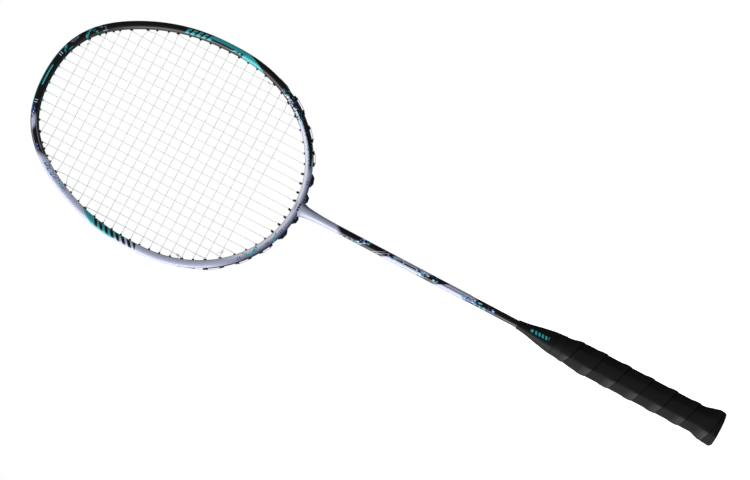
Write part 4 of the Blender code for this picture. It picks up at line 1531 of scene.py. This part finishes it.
@dataclass
class StringBed:
    """Both strings, woven one over and one under, each from knot to knot."""

    plan: StringPlan
    radius: float = 0.00034
    sides: int = 10
    main_weave: float = 0.00013
    cross_weave: float = 0.00059
    shared_offset: float = 0.00038
    lane_offset: float = 0.0010
    turn_in: float = 0.007
    pad_rise: float = 0.0016
    band_rise: float = 0.0006
    block_rise: float = 0.0009
    corner_radius: float = 0.0007
    main_step: float = 0.0031
    cross_step: float = 0.0012
    end_gap: float = 0.0005
    knot_turns: float = 3.0
    knot_distance: float = 0.0046
    knot_start: float = -0.0014
    knot_length: float = 0.0024
    knot_tail: float = 0.0030

    def build(self) -> None:
        """Make the main string and the cross string."""
        finish = BraidedString().material()
        for name, route, node in (("woven_mains", self._mains(), "main_string"),
                                  ("woven_crosses", self._crosses(), "cross_string")):
            skin = Skin()
            skin.grid(tube_rings(route, self.radius, self.sides), uv=tube_layout(route, self.sides))
            finish_piece(skin.object(name, sharp=180.0), finish, "string", node)

    def _rise(self, hole: Hole) -> float:
        """How high a string runs above the outer edge between two holes.

        Args:
            hole: The hole it leaves by.

        Returns:
            The rise in metres.
        """
        if abs(hole.angle) > THROAT_FROM:
            return self.pad_rise
        outline = self.plan.outline
        block = self.block_rise if abs(hole.angle) > outline.groove_ends[1] else 0.0
        return self.band_rise + block + self.radius * 1.2 - float(outline.groove_depth(hole.angle))

    def _in_hole(self, hole: Hole, lane: Lane) -> list[np.ndarray]:
        """A string's points in a hole, from the nub outwards."""
        offset = np.array([0.0, self.shared_offset * lane.value if hole.shared else 0.0, 0.0])
        return [hole.inner + offset, hole.exit(self._rise(hole)) + offset]

    def _outside(self, near: Hole, far: Hole, lane: Lane) -> list[np.ndarray]:
        """A string's points on the outside, from one hole's exit to the next.

        Args:
            near: The hole it comes out of.
            far: The hole it goes into.
            lane: Which string it is.

        Returns:
            The points.
        """
        pad = abs(near.angle) > THROAT_FROM
        depth = 0.0 if pad else self.lane_offset * lane.value
        points = []
        for share in (0.2, 0.8):
            angle = near.angle + (far.angle - near.angle) * share
            rise = self._rise(near) * (1 - share) + self._rise(far) * share
            points.append(self.plan.outline.point(angle, rise, depth))
        return points

    def _knot(self, hole: Hole, heading: np.ndarray, lane: Lane) -> list[np.ndarray]:
        """A knot beside the nub: a tail, then a few turns round the string.

        Args:
            hole: The hole beside the knot.
            heading: The string's direction at the nub.
            lane: Which string it is.

        Returns:
            The points.
        """
        inner = self._in_hole(hole, lane)[0]
        middle = inner + heading * self.knot_distance
        side = np.cross(heading, (0.0, 1.0, 0.0))
        side /= np.linalg.norm(side)
        other = np.cross(heading, side)
        reach = self.radius * 2.05
        points = [middle + side * self.knot_tail - heading * 0.0016]
        for step in range(int(self.knot_turns * 10) + 1):
            turn = 2 * math.pi * step / 10
            along = self.knot_start + self.knot_length * step / (self.knot_turns * 10)
            points.append(middle + heading * along + reach * (side * math.cos(turn) + other * math.sin(turn)))
        return points

    def _main_span(self, index: int, low: Hole, high: Hole) -> list[np.ndarray]:
        """One main from its lower nub to its upper one, bending a little at each cross.

        Args:
            index: The main's number from -X.
            low: Its lower hole.
            high: Its upper hole.

        Returns:
            The points.
        """
        x = self.plan.main_x(index)
        offset_low = self.shared_offset if low.shared else 0.0
        offset_high = self.shared_offset if high.shared else 0.0
        heights, depths = [float(low.inner[2]), float(low.inner[2]) + self.turn_in], [offset_low, 0.0]
        top = float(high.inner[2])
        for row in range(self.plan.crosses):
            z = self.plan.cross_z(row)
            if heights[1] + 0.001 < z < top - self.turn_in - 0.001:
                heights.append(z)
                depths.append(-self.main_weave if (index + row) % 2 else self.main_weave)
        heights += [top - self.turn_in, top]
        depths += [0.0, offset_high]
        at = np.unique(np.concatenate([np.array(heights), np.arange(heights[0], top, self.main_step)]))
        y = ease_between(at, heights, depths)
        xs = np.interp(at, [heights[0], heights[1], heights[-2], top], [low.inner[0], x, x, high.inner[0]])
        return [np.array(point) for point in np.stack([xs, y, at], axis=1)]

    def _mains(self) -> np.ndarray:
        """The main string's route: up and down from -X to +X."""
        plan = self.plan
        middle = plan.mains // 2
        route: list[np.ndarray] = []
        previous: Hole | None = None
        for index in range(plan.mains):
            side = Side.RIGHT if index >= middle else Side.LEFT
            column = index - middle if side is Side.RIGHT else middle - 1 - index
            low, high = plan.by_end[side, "bottom", column], plan.by_end[side, "top", column]
            span = self._main_span(index, low, high)
            first, last = (high, low) if index % 2 else (low, high)
            if index % 2:
                span.reverse()
            route += self._enter(previous, first, span, Lane.MAIN)
            route += span[1:-1]
            route += self._leave(last, span, Lane.MAIN, index == plan.mains - 1)
            previous = last
        return round_corners(route, self.corner_radius, 3)

    def _enter(self, previous: Hole | None, hole: Hole, span: list[np.ndarray],
               lane: Lane) -> list[np.ndarray]:
        """The points that bring a string to the start of a span.

        Args:
            previous: The hole it comes from, if any.
            hole: The hole it enters by.
            span: The span's points.
            lane: Which string it is.

        Returns:
            The points.
        """
        if previous is None:
            heading = (span[1] - span[0]) / np.linalg.norm(span[1] - span[0])
            return self._knot(hole, heading, lane) + [span[0] + heading * self.end_gap]
        return self._outside(previous, hole, lane) + self._in_hole(hole, lane)[::-1]

    def _leave(self, hole: Hole, span: list[np.ndarray], lane: Lane, final: bool) -> list[np.ndarray]:
        """The points that take a string out at the end of a span.

        Args:
            hole: The hole it leaves by.
            span: The span's points.
            lane: Which string it is.
            final: Whether the string ends here.

        Returns:
            The points.
        """
        if final:
            heading = (span[-2] - span[-1]) / np.linalg.norm(span[-2] - span[-1])
            return ([span[-1] + heading * self.end_gap] + self._knot(hole, heading, lane)[::-1])
        return self._in_hole(hole, lane)

    def _cross_span(self, row: int, left: Hole, right: Hole) -> list[np.ndarray]:
        """One cross from its left nub to its right one, over and under the mains.

        Args:
            row: The cross's number from the throat.
            left: Its left hole.
            right: Its right hole.

        Returns:
            The points.
        """
        plan = self.plan
        z = plan.cross_z(row)
        xs, ys = [float(left.inner[0])], [-self.shared_offset if left.shared else 0.0]
        for index in range(plan.mains):
            x = plan.main_x(index)
            if abs(x) < float(right.inner[0]) - 0.0015:
                xs.append(x)
                ys.append(self.cross_weave if (index + row) % 2 else -self.cross_weave)
        xs.append(float(right.inner[0]))
        ys.append(-self.shared_offset if right.shared else 0.0)
        at = np.unique(np.concatenate([np.array(xs), np.arange(xs[0], xs[-1], self.cross_step)]))
        y = ease_between(at, xs, ys)
        height = np.interp(at, [xs[0], xs[1], xs[-2], xs[-1]], [left.inner[2], z, z, right.inner[2]])
        return [np.array(point) for point in np.stack([at, y, height], axis=1)]

    def _crosses(self) -> np.ndarray:
        """The cross string's route: to and fro from the throat."""
        plan = self.plan
        route: list[np.ndarray] = []
        previous: Hole | None = None
        for row in range(plan.crosses):
            left, right = plan.by_end[Side.LEFT, "side", row], plan.by_end[Side.RIGHT, "side", row]
            span = self._cross_span(row, left, right)
            first, last = (right, left) if row % 2 else (left, right)
            if row % 2:
                span.reverse()
            route += self._enter(previous, first, span, Lane.CROSS)
            route += span[1:-1]
            route += self._leave(last, span, Lane.CROSS, row == plan.crosses - 1)
            previous = last
        return round_corners(route, self.corner_radius, 3)


# ------------------------------------------------------------------ shaft and handle


@dataclass
class Shaft:
    """The painted shaft from the throat into the cone."""

    radius: float
    top: float = 0.3832
    bottom: float = 0.1985
    steps: int = 64

    def build(self) -> bpy.types.Object:
        """Make the shaft.

        Returns:
            The dressed piece.
        """
        skin = Skin()
        heights = np.linspace(self.top, self.bottom, 60)
        rows = turned_rings([(self.radius, float(height)) for height in heights], self.steps)
        turn = (np.sin(np.linspace(0, 2 * np.pi, self.steps + 1)) + 1) / 2
        share = (heights - self.bottom) / (self.top - self.bottom)
        uv = np.stack(np.broadcast_arrays(share[:, None], turn[None, :]), axis=-1)
        skin.grid(rows, uv=uv)
        paint = ShaftPaint(self.bottom / MM, self.top / MM)
        return finish_piece(skin.object("painted_shaft"), paint.material(), "shaft_paint", "shaft_tube")


@dataclass
class Cone:
    """The gloss cone between shaft and grip."""

    top: float
    base_radius: float
    mouth_radius: float = 0.0043
    base: float = 0.165
    skirt_radius: float = 0.0087
    marks_mm: tuple[float, float] = (170.5, 184.5)
    steps: int = 96

    def build(self) -> bpy.types.Object:
        """Make the cone with its rounded mouth and its skirt under the tape.

        Returns:
            The dressed piece.
        """
        knots = [(self.mouth_radius, self.top - 0.0008), (self.mouth_radius + 0.0004, self.top - 0.0050),
                 (self.base_radius - 0.0021, self.base + 0.0125),
                 (self.base_radius - 0.0003, self.base + 0.0025),
                 (self.base_radius, self.base + 0.0004)]
        outer = eased_profile(knots, 0.0006)[::-1]
        lip = [(self.mouth_radius - 0.0007, self.top - 0.0002), (self.mouth_radius - 0.0004, self.top),
               (self.mouth_radius - 0.0001, self.top - 0.0003)]
        under = [(self.base_radius - 0.0002, self.base), (self.skirt_radius, self.base),
                 (self.skirt_radius, self.base - 0.0070), (self.skirt_radius - 0.0012, self.base - 0.0070),
                 (self.skirt_radius - 0.0012, self.base + 0.0100), (0.0036, self.top - 0.0150)]
        skin = Skin()
        skin.grid(turned_rings(lip + outer + under, self.steps), closed=True)
        finish = GlossPlastic(*self.marks_mm)
        return finish_piece(skin.object("gloss_cone"), finish.material(), "cone_plastic", "cone_cap")


@dataclass
class Grip:
    """The wrapped grip: one strip wound up the handle, each turn lapping the last."""

    half_width: float = 0.0135
    half_depth: float = 0.01225
    butt_half_width: float = 0.0167
    top_radius: float = 0.01035
    top: float = 0.1643
    bottom: float = 0.0038
    taper_start: float = 0.134
    taper_end: float = 0.165
    flare_start: float = 0.0226
    flare_end: float = 0.0066
    pitch: float = 0.0233
    first_edge: float = 0.0295
    lap: float = 0.0048
    lap_rise: float = 0.00055
    around: int = 176
    along: int = 400

    def radii(self, height: float) -> tuple[float, float, float]:
        """Half width, half depth and roundness of the handle at a height.

        Args:
            height: Height above the butt.

        Returns:
            The two half sizes and the share of roundness.
        """
        up = float(smooth_step((height - self.taper_start) / (self.taper_end - self.taper_start)))
        down = float(smooth_step((self.flare_start - height) / (self.flare_start - self.flare_end)))
        width = self.half_width + (self.butt_half_width - self.half_width) * down
        depth = width * self.half_depth / self.half_width
        width += (self.top_radius - width) * up
        depth += (self.top_radius - depth) * up
        return width, depth, up

    def ring(self, height: float, turns: np.ndarray, inset: float = 0.0) -> np.ndarray:
        """The handle's eased octagon at a height.

        Args:
            height: Height above the butt.
            turns: Angles from the front centre towards +X.
            inset: How far inside the surface to stay.

        Returns:
            Points, as (point, xyz).
        """
        width, depth, round_share = self.radii(height)
        x, y = np.sin(turns), -np.cos(turns)
        flats = np.maximum.reduce([np.abs(x), np.abs(y), (np.abs(x) + np.abs(y)) / 1.43])
        soft = ((np.abs(x) ** 14 + np.abs(y) ** 14 + ((np.abs(x) + np.abs(y)) / 1.43) ** 14) ** (1 / 14))
        shape = (flats * 0.35 + soft * 0.65)
        reach = (1 / shape) * (1 - round_share) + round_share
        return np.stack([x * reach * (width - inset), y * reach * (depth - inset),
                         np.full_like(x, height)], axis=1)

    def _relief(self, height: float, turns: np.ndarray) -> np.ndarray:
        """How far the wrap stands proud: highest on each lap, with a sharp lower edge.

        Args:
            height: Height above the butt.
            turns: Angles round the handle.

        Returns:
            The rise at each angle, in metres.
        """
        phase = ((height - self.first_edge) / self.pitch + turns / (2 * np.pi)) % 1.0
        distance = phase * self.pitch
        rise = smooth_step(distance / 0.0004)
        fall = 1 - smooth_step((distance - self.lap) / 0.0045)
        crown = 0.00012 * np.sin(np.pi * np.clip(distance / self.lap, 0, 1))
        roll = -0.00035 * smooth_step((phase - 0.93) / 0.07)
        return self.lap_rise * rise * fall + crown + roll - 0.0004

    def build(self) -> bpy.types.Object:
        """Make the grip as a sleeve with its wound outer face.

        Returns:
            The dressed piece.
        """
        turns = np.linspace(-np.pi, np.pi, self.around, endpoint=False)
        heights = np.linspace(self.bottom, self.top, self.along)
        outer = []
        for height in heights:
            ring = self.ring(height, turns)
            outward = ring * np.array([1.0, 1.0, 0.0])
            outward /= np.linalg.norm(outward, axis=1)[:, None]
            fade = min(1.0, (self.top - height) / 0.006) * min(1.0, (height - self.bottom) / 0.002 + 0.2)
            outer.append(ring + outward * (self._relief(height, turns) * fade)[:, None])
        inner = [self.ring(height, turns, 0.0013) for height in heights[::-12]]
        rows = np.array(outer + inner)
        share = np.concatenate([heights, heights[::-12], heights[:1]])
        turn = np.linspace(-0.5, 0.5, self.around + 1)
        uv = np.stack(np.broadcast_arrays(share[:, None], turn[None, :]), axis=-1)
        skin = Skin()
        skin.grid(rows, closed=True, uv=uv)
        rubber = GripRubber(self.pitch, self.first_edge).material()
        piece = finish_piece(skin.object("wound_grip"), rubber, "grip", "grip_tape")
        return piece


@dataclass
class FinishingTape:
    """The tape band that holds the grip's upper end, with its own lapped end."""

    grip: Grip
    bottom: float = 0.1560
    top: float = 0.1647
    around: int = 160

    def build(self) -> bpy.types.Object:
        """Make the band.

        Returns:
            The dressed piece.
        """
        turns = np.linspace(-np.pi, np.pi, self.around, endpoint=False)
        lap = 0.00010 * (1 - smooth_step(np.abs(turns - 2.4) / 0.5))
        profile = [(0.0004, self.bottom), (0.00005, self.bottom), (-0.00005, self.bottom + 0.00012)]
        middle = np.linspace(self.bottom + 0.0006, self.top - 0.0006, 10)
        profile += [(-0.00008 - 0.00004 * math.sin(9000.0 * height), height) for height in middle]
        profile += [(-0.00005, self.top - 0.00012), (0.00005, self.top), (0.0004, self.top)]
        rows = []
        for inset, height in profile:
            ring = self.grip.ring(height, turns, inset)
            outward = ring * np.array([1.0, 1.0, 0.0])
            outward /= np.linalg.norm(outward, axis=1)[:, None]
            rows.append(ring + outward * lap[:, None])
        skin = Skin()
        skin.grid(np.array(rows), closed=True)
        finish = SatinMoulding("gloss_tape", 0.52, 900.0)
        return finish_piece(skin.object("tape_band"), finish.material(), "gloss_tape", "finishing_tape")


@dataclass
class ButtCap:
    """The rounded cap on the handle's end, with a shallow ring pressed into it."""

    grip: Grip
    thickness: float = 0.0035
    around: int = 176

    def build(self) -> bpy.types.Object:
        """Make the cap.

        Returns:
            The dressed piece.
        """
        turns = np.linspace(-np.pi, np.pi, self.around, endpoint=False)
        profile = [(0.0155, 0.0), (0.0100, 0.0), (0.0095, 0.0004), (0.0080, 0.0004), (0.0075, 0.0),
                   (0.0034, 0.0), (0.0022, 0.0001), (0.0012, 0.0005), (0.0005, 0.0012), (0.0001, 0.0021),
                   (0.0001, self.thickness - 0.0003), (0.0004, self.thickness)]
        rows = []
        for inset, height in profile:
            ring = self.grip.ring(0.0, turns, inset)
            ring[:, 2] = height
            rows.append(ring)
        skin = Skin()
        skin.grid(np.array(rows))
        finish = SatinMoulding("butt_plastic", 0.5)
        return finish_piece(skin.object("butt_end_cap"), finish.material(), "butt_plastic", "butt_cap")


def dress_inner_pieces() -> None:
    """Give the hidden pieces, which stay as modelled, their own materials."""
    for node, finish in (("handle_core", HandleWood()), ("t_joint", Resin()), ("grip_staple", StapleSteel())):
        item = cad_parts[node]
        material = finish.material()
        for slot in item.material_slots:
            slot.material = material
        log.info("%s: material %s", node, material.name)


# ------------------------------------------------------------------ studio


@dataclass
class Studio:
    """Pale floor, soft light from the racket's left and front, and the camera."""

    target: tuple[float, float, float] = (0.0070, 0.0, 0.3473)
    lens: float = 150.0
    frame_width: float = 0.6638
    racket_heading: tuple[float, float] = (-0.8843, 0.4668)
    turn: float = math.radians(3.0)

    def add_camera(self) -> None:
        """Set the camera square to the face, rolled so that the shaft runs down to the right."""
        data = bpy.data.cameras.new("camera")
        data.lens = self.lens
        data.clip_start, data.clip_end = 0.05, 50.0
        distance = self.frame_width * self.lens / data.sensor_width
        back = Vector((-math.sin(self.turn), -math.cos(self.turn), 0.0))
        level = Vector((math.cos(self.turn), -math.sin(self.turn), 0.0))
        upright = Vector((0.0, 0.0, 1.0))
        across, up = self.racket_heading
        right = level * up + upright * across
        top = level * -across + upright * up
        place = Matrix((right, top, back)).transposed().to_4x4()
        place.translation = Vector(self.target) + back * distance
        camera = bpy.data.objects.new("camera", data)
        camera.matrix_world = place
        bpy.context.scene.collection.objects.link(camera)
        bpy.context.scene.camera = camera

    def add_floor(self) -> None:
        """A wide pale floor that the racket stands on."""
        bpy.ops.mesh.primitive_plane_add(size=14.0, location=(0.0, 0.0, -0.0002))
        floor = bpy.context.active_object
        floor.name = "pale_floor"
        graph = Graph("pale_floor")
        mottle = graph.noise(graph.vector(*graph.place()), 30.0, 2.0)
        colour = graph.over((0.78, 0.78, 0.78), (0.80, 0.80, 0.80), mottle)
        floor.data.materials.append(graph.dress(Base_Color=colour, Roughness=0.9, Emission_Strength=0.95,
                                                Emission_Color=(1.0, 1.0, 1.0)))
        floor.visible_glossy = False
        floor.visible_diffuse = False

    @staticmethod
    def _area(name: str, place: tuple[float, float, float], aim: tuple[float, float, float],
              size: tuple[float, float], power: float) -> None:
        """One soft box.

        Args:
            name: The light's name.
            place: Where it stands.
            aim: Where it points.
            size: Width and height.
            power: Watts.
        """
        data = bpy.data.lights.new(name, "AREA")
        data.shape = "RECTANGLE"
        data.size, data.size_y = size
        data.energy = power
        lamp = bpy.data.objects.new(name, data)
        lamp.location = place
        lamp.rotation_euler = (Vector(aim) - Vector(place)).to_track_quat("-Z", "Y").to_euler()
        bpy.context.scene.collection.objects.link(lamp)

    def add_lights(self) -> None:
        """A tall soft box at the racket's left, and a world that is dark in front and at the right."""
        self._area("left_box", (-1.9, -0.55, 0.75), (0.0, 0.0, 0.4), (1.6, 2.6), 34.0)
        world = bpy.data.worlds.new("studio")
        bpy.context.scene.world = world
        world.use_nodes = True
        tree = world.node_tree
        tree.nodes.clear()
        coords = tree.nodes.new("ShaderNodeTexCoord")
        split = tree.nodes.new("ShaderNodeSeparateXYZ")
        tree.links.new(coords.outputs["Generated"], split.inputs[0])
        path = tree.nodes.new("ShaderNodeLightPath")
        glossy = self._graded(tree, split.outputs[0], (-0.97, -0.25), (1.1, 0.05))
        soft = self._graded(tree, split.outputs[0], (-1.0, 1.0), (1.05, 0.42))
        white = tree.nodes.new("ShaderNodeBackground")
        white.inputs[0].default_value = (1.0, 1.0, 1.0, 1.0)
        shader = soft
        for test, source in (("Is Glossy Ray", glossy), ("Is Camera Ray", white)):
            mix = tree.nodes.new("ShaderNodeMixShader")
            tree.links.new(path.outputs[test], mix.inputs[0])
            tree.links.new(shader.outputs[0], mix.inputs[1])
            tree.links.new(source.outputs[0], mix.inputs[2])
            shader = mix
        out = tree.nodes.new("ShaderNodeOutputWorld")
        tree.links.new(shader.outputs[0], out.inputs[0])
        bpy.context.scene.view_settings.view_transform = "Standard"

    @staticmethod
    def _graded(tree: bpy.types.NodeTree, across: bpy.types.NodeSocket, span: tuple[float, float],
                strength: tuple[float, float]) -> bpy.types.Node:
        """A grey background that changes from -X to +X.

        Args:
            tree: The world's nodes.
            across: The direction's X part.
            span: Where the change starts and ends.
            strength: Brightness at each end.

        Returns:
            The background node.
        """
        fall = tree.nodes.new("ShaderNodeMapRange")
        fall.interpolation_type = "SMOOTHSTEP"
        for index, value in zip((1, 2, 3, 4), (*span, *strength)):
            fall.inputs[index].default_value = value
        tree.links.new(across, fall.inputs[0])
        grey = tree.nodes.new("ShaderNodeBackground")
        grey.inputs[0].default_value = (1.0, 1.0, 1.0, 1.0)
        tree.links.new(fall.outputs[0], grey.inputs[1])
        return grey


def main() -> None:
    """Build the racket's finished pieces in order and report each."""
    logging.basicConfig(level=logging.INFO, format="%(name)s %(message)s")
    studio = Studio()
    studio.add_camera()
    outline = HeadOutline()
    plan = StringPlan(outline)
    log.info("%d grommet holes", 2 * len(plan.right))
    Hoop(outline).build()
    Grommets(plan).build()
    StringBed(plan).build()
    shaft_low, shaft_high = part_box("shaft_tube")
    Shaft(radius=(shaft_high[0] - shaft_low[0]) / 2).build()
    _, cone_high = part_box("cone_cap")
    Cone(top=cone_high[2], base_radius=cone_high[0]).build()
    grip = Grip()
    grip.build()
    FinishingTape(grip).build()
    ButtCap(grip).build()
    dress_inner_pieces()
    studio.add_floor()
    studio.add_lights()


if __name__ == "__main__":
    main()
